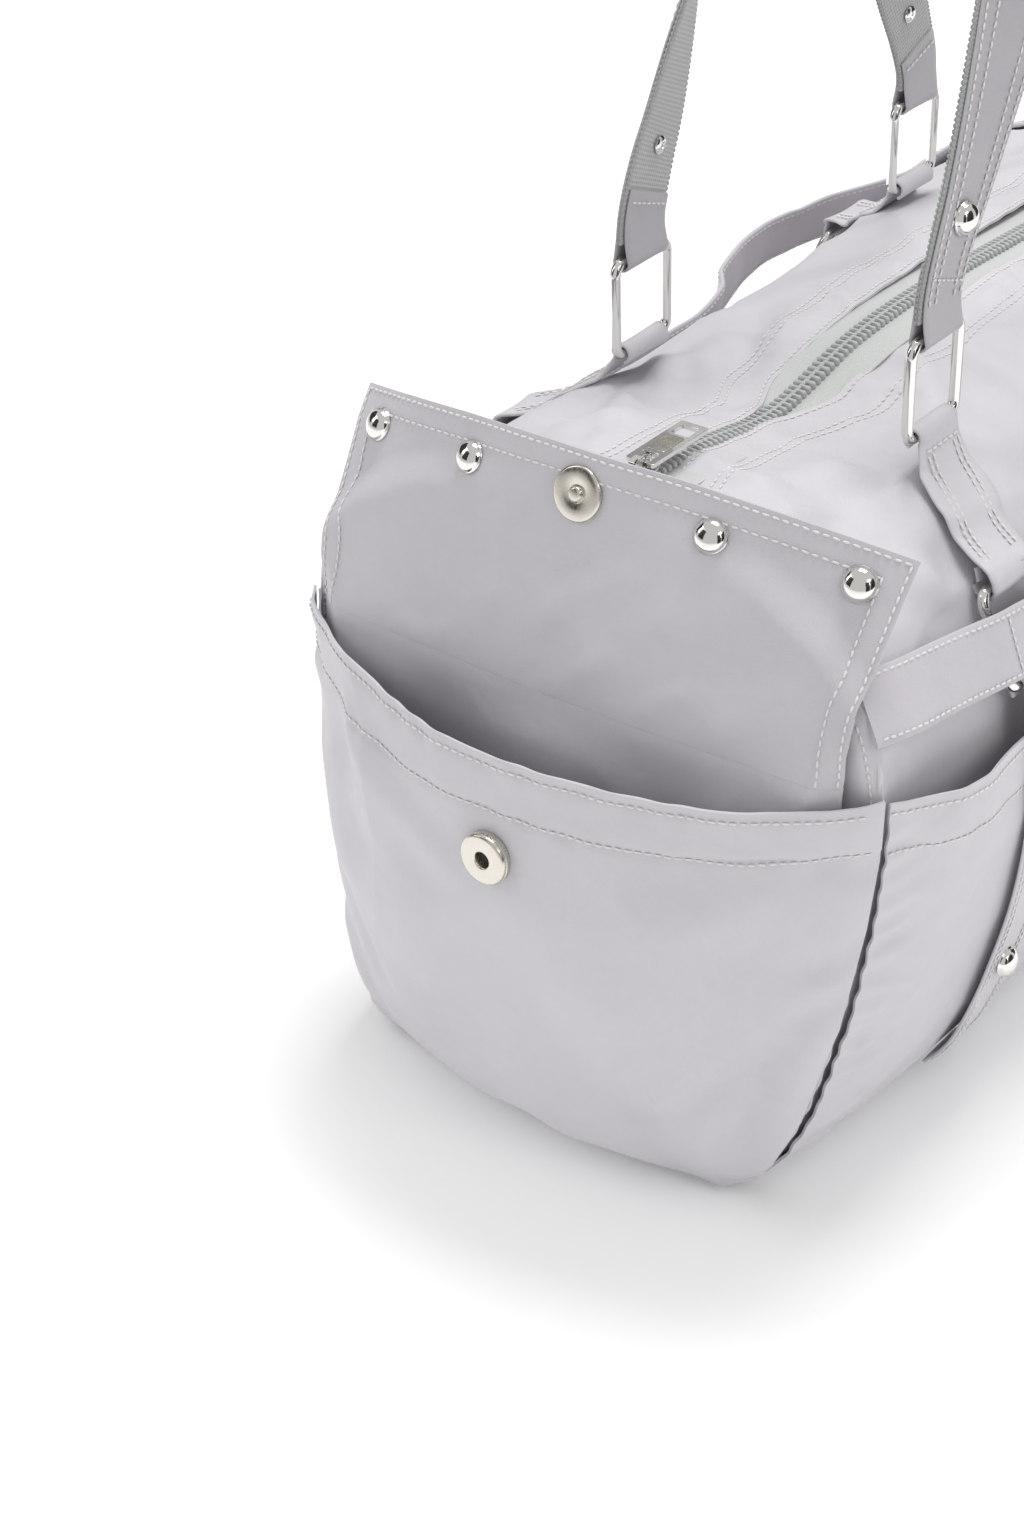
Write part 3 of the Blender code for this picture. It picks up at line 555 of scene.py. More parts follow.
def fold(p, nrm, a, b, width, height, ends=0.25):
    """One soft fold along the line a to b: a ridge where height is positive, a valley where it is negative."""
    a, b = np.asarray(a, float), np.asarray(b, float)
    d = b - a
    length = np.linalg.norm(d)
    t = ((p - a) @ d) / length**2
    near = np.linalg.norm(p - (a + np.clip(t, 0, 1)[..., None] * d), axis=-1)
    taper = ramp(-ends * 0.5, ends, t) * (1 - ramp(1 - ends, 1 + ends * 0.5, t))
    shape = np.exp(-((near / width) ** 2)) - 0.35 * np.exp(-(((near - 1.7 * width) / width) ** 2))
    return p + nrm * (height * taper * shape)[..., None]


def folds(p, nrm, rows):
    for a, b, width, height in rows:
        p = fold(p, nrm, a, b, width, height)
    return p


def body_shell():
    ts = np.concatenate([np.linspace(0, 2, 14)[:-1], np.linspace(2, len(MID) - 1, 150)])
    ys = np.concatenate([-206.8 + 22 * np.linspace(0, 1, 16)[:-1] ** 1.5, np.linspace(-184.8, 184.8, 176),
                         206.8 - 22 * np.linspace(1, 0, 16)[1:] ** 1.5])
    halves = []
    for sign in (-1, 1):
        q = outline(ys, ts, sign)
        halves.append(np.stack([sign * q[..., 0], leaned(ys[:, None], q[..., 1]), q[..., 1]], -1))
    far, near = halves[0][:, ::-1], halves[1]
    p = np.concatenate([far, near[:, 1:]], 1)
    nrm = -grid_normals(p)
    x, y, z = p[..., 0], p[..., 1], p[..., 2]
    if ((p - CORE) * nrm).sum() < 0:
        nrm = -nrm
    # how much each place may move: the base stays flat, and what lies under pockets only moves inwards
    upper = ramp(184, 200, z)
    low = 1 - ramp(10, 30, z)
    soft = 1.0 * waves(p, 130, 11) + 0.55 * waves(p, 60, 12) + 0.25 * waves(p, 26, 13, squeeze=(1, 0.6, 1))
    crisp = creases(p, 95, 21, (1, 0.7, 1)) * 1.3 + creases(p, 48, 22) * 0.6
    seam = 1 - ramp(0, 40, 207 - np.abs(y))
    d = upper * (1.3 * soft + 1.4 * (crisp - 0.8)) + (1 - upper) * (1 - low) * (-0.9 - 0.7 * np.abs(soft))
    d = d - 0.6 * upper
    girth = np.arctan2(z - 120, x) * 120
    pucker = np.cos(girth / 5.2 + 2.1 * waves(p, 40, 31)) * 0.8 + np.cos(girth / 11 + 1.7) * 0.9
    d += seam**2 * pucker * upper * 0.9 - (1 - ramp(0, 3.2, 207 - lean(z) - np.abs(y))) * 1.3
    # gathers beside the zip's topstitching
    edge = np.abs(x) - zip_half(y)
    gather = np.cos(y / 3.4 + 2.2 * waves(p, 30, 32)) * 0.35
    d += gather * bell(edge, 10, 9) * (z > 200) * 1.5
    p = p + nrm * d[..., None]
    for sx in (1, -1):
        for sy in (1, -1):
            # the folds that start at each ring's loop
            p = folds(p, nrm, [((sx * a, sy * b, c), (sx * d, sy * e, f), w, h) for a, b, c, d, e, f, w, h in (
                (58, 78, 238, 20, 38, 242, 7, 2.0), (66, 96, 232, 92, 172, 212, 8, 2.4),
                (52, 108, 237, 24, 160, 243, 7, 1.7), (60, 118, 234, 60, 196, 232, 9, -2.6),
                (74, 70, 228, 66, 8, 236, 10, 1.6),
            )])
    p = folds(p, nrm, (
        ((-70, -70, 232), (-26, -118, 241), 5, 2.6), ((-50, -30, 240), (-20, -88, 238), 7, -2.6),
        ((20, -92, 240), (78, -60, 225), 9, 2.0), ((24, -118, 240), (96, -150, 208), 10, 2.4),
        ((18, -20, 243), (80, -30, 224), 9, -2.4), ((-96, -110, 205), (-40, -70, 238), 6, 2.4),
        ((-30, -130, 240), (-84, -170, 216), 7, 2.6), ((60, -190, 234), (100, -120, 208), 7, 2.4),
        ((14, -190, 243), (62, -170, 236), 6, 1.8),
    ))
    p[..., 2] = np.maximum(p[..., 2], 0.35)
    return p


BODY = body_shell()
BODY_N = grid_normals(BODY)
BODY_N *= np.sign(((BODY - CORE) * BODY_N).sum())


def outside(p, direction):
    """+1 or -1, so that a grid's outer side faces along a direction."""
    return float(np.sign((grid_normals(p) * np.asarray(direction, float)).sum()))


def make_body():
    side = float(np.sign((grid_normals(BODY) * BODY_N).sum()))
    shell = cloth("body_shell", BODY, 1.1, NYLON, side)
    in_bag(shell, "nylon", "main_panel_near", "main_panel_far", "base_panel")
    lines = []
    for axis in (1, 3):
        for distance in (2.2, 15.0, 18.4):
            lines.append(row(BODY, BODY_N, axis, distance, 0.02, 0.98))
    stitches("zip_topstitching", lines, "bag", 2.9, 2.2, 0.30)
    # the sewn edge of the base
    lines = []
    for sx in (1, -1):
        i = int(np.argmin(np.abs(BODY[100, :, 0] - sx * 78) + 5 * (BODY[100, :, 2] > 20)))
        lines.append((BODY[6:-6, i], BODY_N[6:-6, i]))
    stitches("base_topstitching", lines, "bag", 3.3, 2.6, 0.33)


def end_bulge(x, z):
    across = np.maximum(0, 1 - (x / 116.0) ** 2)
    up = np.maximum(0, 1 - ((z - 98.0) / 148.0) ** 2)
    return 16.0 * across * up


def end_loop(count=260):
    t = np.linspace(0, len(MID) - 1, 400)
    near = catmull(end_table(1), t)
    far = catmull(end_table(-1), t)[::-1] * np.array([-1.0, 1.0])
    loop = np.concatenate([near, far[:-1]])
    return resample(np.concatenate([loop, loop[:1]]), count=count + 1)[:-1]


def make_end(name, sign, replaced, lively):
    loop = end_loop()
    centre = np.array([0.0, 122.0])
    radii = np.concatenate([[0.0015], np.linspace(0.02, 0.9, 40)[:-1], np.linspace(0.9, 1.0, 12)])
    q = centre + (loop[None] - centre) * radii[:, None, None]
    x, z = q[..., 0], q[..., 1]
    edge = 1 - ramp(0.95, 1.0, radii)[:, None]
    y = END_Y + 0.4 + 2.0 * edge + end_bulge(x, z) - lean(z)
    p = np.stack([x, sign * y, z], -1)
    p = np.concatenate([p, p[:, :1]], 1)
    wobble = 1.5 * waves(p, 120, 41 + sign) + 0.8 * waves(p, 50, 44 + sign)
    turn = np.arctan2(p[..., 2] - 122, p[..., 0]) * 115
    pucker = np.cos(turn / 5.0 + 2 * waves(p, 40, 47)) * 0.8 + np.cos(turn / 12.0) * 0.8
    rim = ramp(0.72, 0.97, radii)[:, None] * (1 - ramp(0.985, 1.0, radii)[:, None])
    inner = (1 - ramp(0.86, 1.0, radii))[:, None]
    if lively:
        move = inner * (wobble + 1.3 * (creases(p, 90, 51) - 0.6)) + rim * pucker
    else:
        move = -0.8 * inner * np.abs(wobble)
    p[..., 1] += sign * move
    p[..., 2] = np.maximum(p[..., 2], 0.4)
    piece = cloth(name, p, 1.0, NYLON, outside(p, (0, sign, 0)))
    in_bag(piece, "nylon", replaced)
    nrm = grid_normals(p) * outside(p, (0, sign, 0))
    stitches(name + "_topstitching", [row(p, nrm, 2, 4.0)], "bag", 3.2, 2.5, 0.32)


def make_welts():
    """The turned seam allowance that stands along each end's edge."""
    parts = []
    loop = end_loop(520)
    loop = np.concatenate([loop, loop[:1]])
    for sign in (-1, 1):
        s = along(loop)
        path = np.stack([loop[:, 0], sign * (END_Y + 0.3 - lean(loop[:, 1])), loop[:, 1]], -1)
        lift = 0.2 * np.cos(s / 2.1) + 0.3 * waves(path, 16, 61) - 1.2
        tangent = unit(np.gradient(path, axis=0))
        normal = unit(np.cross(tangent, [0, sign, 0]))
        normal *= np.sign((normal * (path - CORE)).sum())
        path = path + normal * lift[:, None]
        path[:, 2] = np.maximum(path[:, 2], 1.5)
        k = 8
        angle = np.arange(k) * TAU / k
        r = 0.95 + 0.15 * np.cos(s / 2.1 + 1.0)
        ring = (path[:, None] + normal[:, None] * (np.cos(angle)[None, :, None] * r[:, None, None])
                + Y_AXIS * (np.sin(angle)[None, :, None] * (r * 1.1)[:, None, None]))
        parts.append((ring.reshape(-1, 3), tube(len(path), k)))
    in_bag(join_meshes("end_seam_welts", parts, NYLON), "nylon")


def end_half(z, u):
    near, far = (end_table(sign)[2:12] for sign in (1, -1))
    return np.where(u > 0, np.interp(z, near[:, 1], near[:, 0]), np.interp(z, far[:, 1], far[:, 0]))


def pocket_stand(x, z, u):
    """How far the pocket's outer face stands from the bag's middle."""
    rise = np.clip((z - POCKET_FOOT) / 36.0, 0, 1)
    belly = np.sin(rise * math.pi / 2) ** 0.7
    sag = 7.0 * bell(z, 115, 50)
    return END_Y + 4.8 + end_bulge(x, z) + (26.0 + sag) * belly * (1 - np.abs(u) ** 3.0)


def pocket_grid():
    u = np.linspace(-1, 1, 181)[None, :]
    v = np.linspace(0, 1, 141)[:, None]
    top = POCKET_TOP - POCKET_DIP * (1 - u * u) - 2.0 * bell(u, 0.75, 0.2)
    z = POCKET_FOOT + (top - POCKET_FOOT) * v
    wide = np.where(u > 0, end_half(z, 1), end_half(z, -1))
    x = wide * u
    stand = pocket_stand(x, z, u)
    wrap = ramp(0.968, 1.0, np.abs(u))
    p = np.stack([x + 1.5 * np.sign(u) * wrap + 0 * v, -stand + 3.4 * wrap, z + 0 * u], -1)
    return p, u + 0 * v, v + 0 * u


def make_end_pocket():
    p, u, v = pocket_grid()
    side = outside(p, (0, -1, 0))
    nrm = grid_normals(p) * side
    free = (1 - np.abs(u) ** 6) * ramp(0.0, 0.12, v)
    soft = 2.2 * waves(p, 150, 71) + 1.1 * waves(p, 70, 72) + 0.35 * waves(p, 30, 73)
    d = free * (soft + 1.3 * (creases(p, 120, 74, (1, 1, 0.6)) - 0.7))
    edge = ramp(0.8, 0.99, np.abs(u))
    d += edge * (np.cos(p[..., 2] / 5.6 + 2 * waves(p, 40, 75)) * 1.1) * (1 - ramp(0.985, 1, np.abs(u)))
    down = POCKET_TOP - POCKET_DIP * (1 - u * u) - p[..., 2]
    d += 0.7 * ramp(19.4, 18.6, down)
    ripple = 0.45 * np.cos(p[..., 0] / 3.2 + 2 * waves(p, 30, 76))
    for at, deep in ((HEM, 0.5), (EDGE_ROW, 0.35)):
        d += (ripple * bell(down, at, 4.5) - deep * bell(down, at, 1.6)) * free
    p = folds(p + nrm * d[..., None], nrm, (
        ((-20, -256, 120), (-70, -240, 30), 16, 3.0), ((30, -254, 110), (80, -232, 25), 14, 3.2),
        ((50, -245, 70), (70, -225, 12), 8, 2.6), ((-90, -232, 150), (-55, -250, 110), 11, -3.0),
        ((95, -226, 150), (50, -250, 128), 12, 2.4), ((-100, -220, 60), (-84, -222, 18), 8, 2.6),
        ((100, -220, 90), (86, -222, 30), 8, 2.8), ((0, -252, 60), (20, -232, 14), 12, 2.4),
        ((-104, -218, 128), (-66, -246, 92), 8, 2.2), ((-12, -258, 128), (-84, -240, 158), 7, 2.0),
        ((-98, -224, 100), (-60, -246, 52), 7, -2.0), ((84, -236, 70), (40, -248, 34), 7, -2.0),
    ))
    p[..., 2] = np.maximum(p[..., 2], 1.0)
    piece = cloth("end_pocket_cloth", p, 1.0, NYLON, side)
    in_bag(piece, "nylon", "end_pocket")
    nrm = grid_normals(p) * side
    lines = [row(p, nrm, 2, EDGE_ROW, 0.01, 0.99), row(p, nrm, 2, HEM, 0.005, 0.995)]
    stitches("end_pocket_stitching", lines, "bag", lift=0.3)
    return p, nrm


def flap_profile(count):
    """The flap's middle line from its hinge to its top edge, with the unit vectors up it and out of its inner face."""
    s = np.linspace(0.4, BASE_LEN + LIP_LEN, count)
    a = np.radians(BASE_LEAN + (LIP_LEAN - BASE_LEAN) * ramp(BASE_LEN - 6, BASE_LEN + 6, s))
    up = np.stack([0 * a, np.sin(a), np.cos(a)], -1)
    face = np.stack([0 * a, -np.cos(a), np.sin(a)], -1)
    step = np.diff(s)[:, None] * (up[1:] + up[:-1]) / 2
    start = np.array([0, *HINGE]) + up[0] * s[0]
    return s, np.concatenate([[start], start + np.cumsum(step, 0)]), face


def make_flap():
    total = BASE_LEN + LIP_LEN
    s, middle, face = flap_profile(85)
    u = np.linspace(-1, 1, 161)[None, :]
    v = (s / total)[:, None]
    half = 105.0 + 4.0 * v
    back = (3.0 + 17.0 * v**1.3) * u**2 - 2.2 * np.sin(np.pi * v) * (1 - u**2)
    back = back + 3.0 * v**2 * np.maximum(0, -u) ** 3
    p = middle[:, None] - face[:, None] * back[..., None]
    p[..., 0] += half * u
    p[..., 2] -= 2.5 * v + 8.5 * v**2 * u**2
    nrm = grid_normals(p) * outside(p, (0, -1, 0))
    free = ramp(0.0, 0.25, v) * (0.5 + 0.5 * (1 - np.abs(u) ** 4))
    d = free * (1.8 * waves(p, 110, 81) + 1.2 * waves(p, 50, 82) + 1.5 * (creases(p, 100, 83) - 0.6))
    p = folds(p + nrm * d[..., None], nrm, (
        ((-60, -228, 190), (-20, -222, 215), 8, 3.2), ((20, -226, 194), (75, -214, 226), 8, -3.0),
        ((4, -224, 200), (64, -220, 204), 7, 2.6), ((-80, -212, 240), (-40, -212, 225), 7, 2.2),
        ((-20, -224, 188), (10, -222, 208), 6, -2.8), ((56, -218, 188), (92, -208, 214), 7, 2.8),
        ((34, -222, 188), (50, -220, 212), 5, 2.0), ((-92, -208, 214), (-50, -220, 196), 6, -2.2),
        ((-10, -222, 214), (30, -216, 236), 6, 1.8),
    ))
    x, z = p[..., 0], p[..., 2]
    wall = END_Y + 2.4 + end_bulge(x, z) - lean(z) + 3.4
    q = p[..., 1] + wall + 0.4
    top = outline_top(x)
    p[..., 1] -= 0.5 * (q + np.sqrt(q * q + 9.0)) * ramp(top + 9, top - 4, z)
    # the lower corners tuck in behind the pocket's edge
    p[..., 1] += (behind_pocket(x, z, p[..., 1]) - p[..., 1]) * ramp(204, 186, z)
    # the turned hem is thicker than the middle
    from_edge = np.minimum((1 - np.abs(u)) * half, (1 - v) * total)
    p = p + nrm * (0.45 * (1 - ramp(8.6, 9.4, from_edge)))[..., None]
    side = outside(p, (0, -1, 0))
    # the flap takes the darker nylon, as painted shade
    piece = cloth("flap_cloth", p, 1.7, NYLON_SHADED, side)
    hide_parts("flap_base", "flap_lip")
    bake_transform(piece)
    nrm = grid_normals(p) * side
    lines = []
    for distance in (1.8, 8.6):
        lines.append(row(p, nrm, 2, distance, distance / 216.0, 1 - distance / 216.0))
        for axis in (1, 3):
            lines.append(row(p, nrm, axis, distance, 0.0, 1 - distance / total))
    sewn = join_meshes("flap_stitching", beads(lines, 3.3, 2.7, 0.43, lift=0.12), THREAD)
    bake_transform(sewn)
    make_flap_root(p[0])
    return p, nrm


def outline_top(x):
    """Height of the end panel's upper edge at x."""
    near = end_table(1)[9:][::-1]
    return np.interp(np.abs(x), near[:, 0], near[:, 1]) + 4.0


def behind_pocket(x, z, y):
    """y moved back, where it has to be, to lie between the end panel and the pocket."""
    u = np.clip(x / np.where(x > 0, end_half(z, 1), end_half(z, -1)), -1, 1)
    inner = 4.5 - pocket_stand(x, np.minimum(z, POCKET_TOP), u)
    return np.minimum(np.maximum(y, inner), -(END_Y + 4.6 + end_bulge(x, z)))


def make_flap_root(edge):
    """The lining that runs on from the flap's hinge line down inside the pocket."""
    depth = 62.0
    w = np.linspace(0, 1, 30)[:, None]
    x = edge[None, :, 0] * (1 - 0.01 * w)
    z = edge[None, :, 2] - 0.05 - depth * w
    wall = -(END_Y + 2.4 + end_bulge(x, z) - lean(z) + 1.0)
    hang = edge[None, :, 1] - depth * math.sin(math.radians(BASE_LEAN)) * w * (1 - w)
    y = hang + (wall - hang) * ramp(0.25, 1.0, w)
    p = np.stack([x, y, z], -1)
    p[..., 1] -= (1.4 * waves(p, 70, 85) + 1.2 * creases(p, 60, 86, (1, 1, 0.5))) * ramp(0.02, 0.3, w)
    p[..., 1] = behind_pocket(x, z, p[..., 1])
    # the darker nylon, as painted shade inside the pocket
    in_bag(cloth("flap_root", p, 1.0, NYLON_SHADED, outside(p, (0, -1, 0))), "nylon_inner")


# ---------------------------------------------------------------- hardware
def dome_profile(r, h, base):
    pts = [(0, base + h)]
    for k in range(1, 12):
        a = k / 12 * math.pi / 2
        pts.append((r * 0.93 * math.sin(a), base + 0.5 + (h - 0.5) * math.cos(a)))
    pts += [(r * 0.95, base + 0.75), (r, base + 0.5), (r, base + 0.1), (r * 0.97, base)]
    return pts


def dome_stud(name, centre, axis, body, node_name, back=None):
    profile = dome_profile(5.9, 4.3, 0.0)
    if back is None:
        profile.append((0, 0.0))
    else:
        profile += [(1.4, 0.0), (1.4, -back), (3.2, -back), (3.3, -back - 0.4), (2.7, -back - 0.9), (1.2, -back - 1.1),
                    (1.0, -back - 0.7), (0, -back - 0.7)]
    place(turned(name, profile, centre, axis, CHROME), body, "chrome", node_name)


def make_flap_hardware(p, nrm):
    i = int(round((p.shape[0] - 1) * (1 - STUD_DOWN / (BASE_LEN + LIP_LEN))))
    for k, x in enumerate((-94.5, -47.0, 47.0, 94.5)):
        j = int(np.argmin(np.abs(p[i, :, 0] - x)))
        dome_stud(f"flap_dome_{k + 1}", p[i, j] + nrm[i, j] * 0.1, nrm[i, j], "flap_end", f"flap_stud_{k + 1}")
    j = int(np.argmin(np.abs(p[i, :, 0])))
    a = math.radians(LIP_LEAN)
    axis = unit(nrm[i, j] * 0.3 + np.array([0, -math.cos(a), math.sin(a)]))
    profile = [(0, 3.1), (1.5, 3.1), (2.2, 2.9), (2.5, 2.4), (2.6, 1.75), (2.75, 1.6), (3.0, 1.75), (3.2, 1.85),
               (8.3, 1.85), (8.9, 1.65), (9.2, 1.2), (9.2, 0.8), (9.1, 0.2), (0, 0.0)]
    place(turned("flap_snap", profile, p[i, j] + axis * 0.1, axis, NICKEL, 56), "flap_end", "chrome", "snap_male")


def nearest(p, nrm, x, z):
    flat = p.reshape(-1, 3)
    i = int(np.argmin((flat[:, 0] - x) ** 2 + (flat[:, 2] - z) ** 2))
    return flat[i], nrm.reshape(-1, 3)[i]


def make_pocket_snap(p, nrm):
    lo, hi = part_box("snap_female")
    z = (lo[2] + hi[2]) / 2 * 1000
    centre, axis = nearest(p, nrm, 0.0, z)
    axis = unit(axis * 0.6 + np.array([0, -1.0, 0]) * 0.4)
    profile = [(2.9, 0.0), (2.9, 3.6), (3.1, 4.0), (3.5, 4.15), (8.0, 4.15), (8.7, 3.95), (9.1, 3.5), (9.2, 2.6),
               (8.9, 2.4), (8.9, 2.2), (9.2, 2.0), (9.2, 0.4), (9.0, 0.0)]
    foot = centre - axis * 0.2
    in_bag(turned("pocket_snap", profile, foot, axis, NICKEL, 56, ring=True), "chrome", "snap_female")
    # a near-black disc in the snap ring's open middle: painted shade in its hole, not a part
    shadow_disc = [(0, 0.9), (3.05, 0.9), (3.05, 0.3), (0, 0.3)]
    in_bag(turned("pocket_snap_hole_shadow", shadow_disc, foot, axis, HOLE_SHADOW, 32), "chrome")


def wire_ring(name, centre, across, up, body, node_name):
    half_w, half_h, corner, wire, k = 15.2, 17.0, 4.5, 2.0, 14
    centre = np.asarray(centre, float)
    across = unit(np.asarray(across, float))
    up = unit(np.asarray(up, float))
    normal = np.cross(across, up)
    loops = []
    for cx, cz, start in ((1, 1, 0), (-1, 1, 90), (-1, -1, 180), (1, -1, 270)):
        for step in np.linspace(0, 90, 9):
            a = math.radians(start + step)
            out = across * math.cos(a) + up * math.sin(a)
            mid = (centre + across * (cx * (half_w - corner) + corner * math.cos(a))
                   + up * (cz * (half_h - corner) + corner * math.sin(a)))
            loops.append([mid + (out * math.cos(b) + normal * math.sin(b)) * wire for b in np.arange(k) * TAU / k])
    piece = mesh_object(name, np.array(loops).reshape(-1, 3), tube(len(loops), k, True), CHROME)
    place(piece, body, "chrome", node_name)


def plate(name, outline_points, holes, z0, z1, bevel, material):
    """A flat part cut from a polygon with rectangular windows, given a small bevel."""
    bm = bmesh.new()
    loops = [outline_points] + holes
    edges = []
    for loop in loops:
        verts = [bm.verts.new(Vector((x, y, z0)) * MM) for x, y in loop]
        for a, b in zip(verts, verts[1:] + verts[:1]):
            edges.append(bm.edges.new((a, b)))
    bmesh.ops.triangle_fill(bm, edges=edges, use_beauty=True)
    bmesh.ops.dissolve_limit(bm, angle_limit=0.01, verts=bm.verts, edges=bm.edges)
    made = bmesh.ops.extrude_face_region(bm, geom=bm.faces[:])
    moved = [g for g in made["geom"] if isinstance(g, bmesh.types.BMVert)]
    bmesh.ops.translate(bm, vec=(0, 0, (z1 - z0) * MM), verts=moved)
    bmesh.ops.recalc_face_normals(bm, faces=bm.faces)
    mesh = bpy.data.meshes.new(name)
    bm.to_mesh(mesh)
    bm.free()
    mesh.materials.append(material)
    obj = linked(name, mesh)
    cut = obj.modifiers.new("bevel", "BEVEL")
    cut.width = bevel * MM
    cut.segments = 3
    cut.limit_method = "ANGLE"
    cut.angle_limit = math.radians(35)
    mesh.polygons.foreach_set("use_smooth", [True] * len(mesh.polygons))
    cut.harden_normals = True
    return obj


def rounded(x0, x1, y0, y1, r, n=4):
    pts = []
    for cx, cy, start in ((x1 - r, y1 - r, 0), (x0 + r, y1 - r, 90), (x0 + r, y0 + r, 180), (x1 - r, y0 + r, 270)):
        for k in range(n + 1):
            a = math.radians(start + 90 * k / n)
            pts.append((cx + r * math.cos(a), cy + r * math.sin(a)))
    return pts


def make_zip():
    ys = np.linspace(-198.8, 198.8, 184)
    dip = zip_dip(ys)
    for side, sx in SIDES:
        xs = np.linspace(2.6, 15.5, 10)
        bend = (xs[None, :] - 3) / 12.5
        z = 241.4 - dip[:, None] - 0.8 * bend
        p = np.stack([sx * (xs[None, :] + 0 * ys[:, None]), ys[:, None] + 0 * xs[None, :], z], -1)
        p[..., 2] += 0.12 * waves(p, 26, 91)
        tape = cloth(f"zip_tape_cloth_{side}", p, 0.6, TAPE, outside(p, (0, 0, 1)))
        in_bag(tape, "tape", f"zip_tape_{side}")
    pitch = 3.0
    for side, sx in SIDES:
        parts = []
        y = -193.0 + (0.0 if sx > 0 else pitch / 2)
        while y < 193.5:
            z = 242.3 - float(zip_dip(y))
            slope = (float(zip_dip(y + 1)) - float(zip_dip(y - 1))) / 2
            parts.append(tooth(sx, y, z, slope))
            y += pitch
        piece = join_meshes(f"zip_chain_{side}", parts, TEETH)
        in_bag(piece, "teeth", f"zip_teeth_{side}")


def tooth(sx, y, z, slope):
    """One moulded tooth: a head that meets the other row and a foot on the tape."""
    rows = ((3.9, 0.7, 0.9), (3.3, 0.95, 1.35), (1.7, 0.62, 1.4), (0.9, 0.62, 1.4), (0.1, 0.98, 1.45),
            (-0.7, 0.9, 1.2))
    verts = []
    for x, half, high in rows:
        for a, b in ((-1, -0.7), (1, -0.7), (1, 0.55), (0.6, 1), (-0.6, 1), (-1, 0.55)):
            verts.append((sx * x, y + a * half, z + b * high - slope * a * half))
    faces = tube(len(rows), 6) + caps(len(rows), 6)
    if sx > 0:
        faces = [f[::-1] for f in faces]
    return np.array(verts, float), faces


def make_slider():
    y = SLIDER_Y
    shape = [(-3.0, -7.0), (3.0, -7.0), (4.6, -5.4), (5.0, -3.0), (4.7, 1.0), (4.0, 4.5), (3.3, 7.0), (-3.3, 7.0),
             (-4.0, 4.5), (-4.7, 1.0), (-5.0, -3.0), (-4.6, -5.4)]
    top = plate("slider_top", [(a, y + b) for a, b in shape], [], 244.2, 245.8, 0.45, CHROME)
    low = plate("slider_bottom", [(a, y + b) for a, b in shape], [], 238.3, 239.6, 0.4, CHROME)
    post = plate("slider_post", rounded(-0.5, 0.5, y - 4, y + 4, 0.3), [], 239.7, 244.2, 0.1, CHROME)
    rails = []
    for side, sx in SIDES:
        a, b = sorted((sx * 3.9, sx * 5.0))
        rail = rounded(a, b, y - 5.0, y + 3.0, 0.4)
        rails.append(plate(f"slider_rail_{side}", rail, [], 242.7, 244.5, 0.25, CHROME))
    bow = ((-5.0, 245.4), (-4.9, 247.6), (-4.0, 249.7), (-2.0, 250.5), (2.0, 250.5), (4.0, 249.7), (4.9, 247.6),
           (5.0, 245.4))
    path = smooth_line([(0, y + b, z) for b, z in bow], 0.6)
    bail = strap("slider_bail", path, np.tile([1.0, 0, 0], (len(path), 1)), 2.7, 1.3, CHROME)
    place(top, "slider", "chrome", "zip_slider")
    for piece in [low, post, bail] + rails:
        place(piece, "slider", "chrome")


def make_pull():
    y, z = SLIDER_Y + 0.5, 248.3
    shape = rounded(-5.5, 5.5, y - 0.9, y + 31.0, 0.9)
    holes = [rounded(-3.3, 3.3, y + 1.0, y + 6.4, 0.6, 2)[::-1], rounded(-3.6, 3.6, y + 21.5, y + 28.6, 0.6, 2)[::-1]]
    pull = plate("pull_frame", shape, holes, z - 0.8, z + 0.8, 0.42, CHROME)
    inset = plate("pull_panel", rounded(-3.5, 3.5, y + 8.0, y + 20.0, 0.7), [], z + 0.7, z + 1.1, 0.25, NICKEL)
    place(pull, "pull", "chrome", "zip_pull")
    place(inset, "pull", "chrome")


# ---------------------------------------------------------------- side pockets, belts and straps
def side_out(y, z):
    step = np.abs(np.abs(y) - SIDE_RING_Y) / 47.0
    loose = 5.0 + 6.0 * np.minimum(1, step) ** 2
    end = np.minimum(1, (206.6 - np.abs(y)) / 30.0)
    rise = np.clip((z - 8.0) / (178.0 - 25.0), 0, 1)
    return 0.4 + loose * end * rise


def side_mouth(y):
    return 160.0 + 18.0 * np.minimum(1, np.abs(np.abs(y) - SIDE_RING_Y) / 94.0) ** 1.3


def side_grid(sx, ys, vs, low, extra):
    """Grid of points off the side of the body, between low and the mouth."""
    p = np.empty((len(vs), len(ys), 3))
    for j, y in enumerate(ys):
        top = float(side_mouth(y))
        for i, v in enumerate(vs):
            z = low + (top - low) * v
            p[i, j] = (sx * surface_x(z, y, float(side_out(y, z)) + extra, sx), y, z)
    for k in range(3):
        smooth = p[:, :, 0]
        p[:, 1:-1, 0] = (smooth[:, :-2] + 2 * smooth[:, 1:-1] + smooth[:, 2:]) / 4
        p[1:-1, :, 0] = (p[:-2, :, 0] + 2 * p[1:-1, :, 0] + p[2:, :, 0]) / 4
    return p


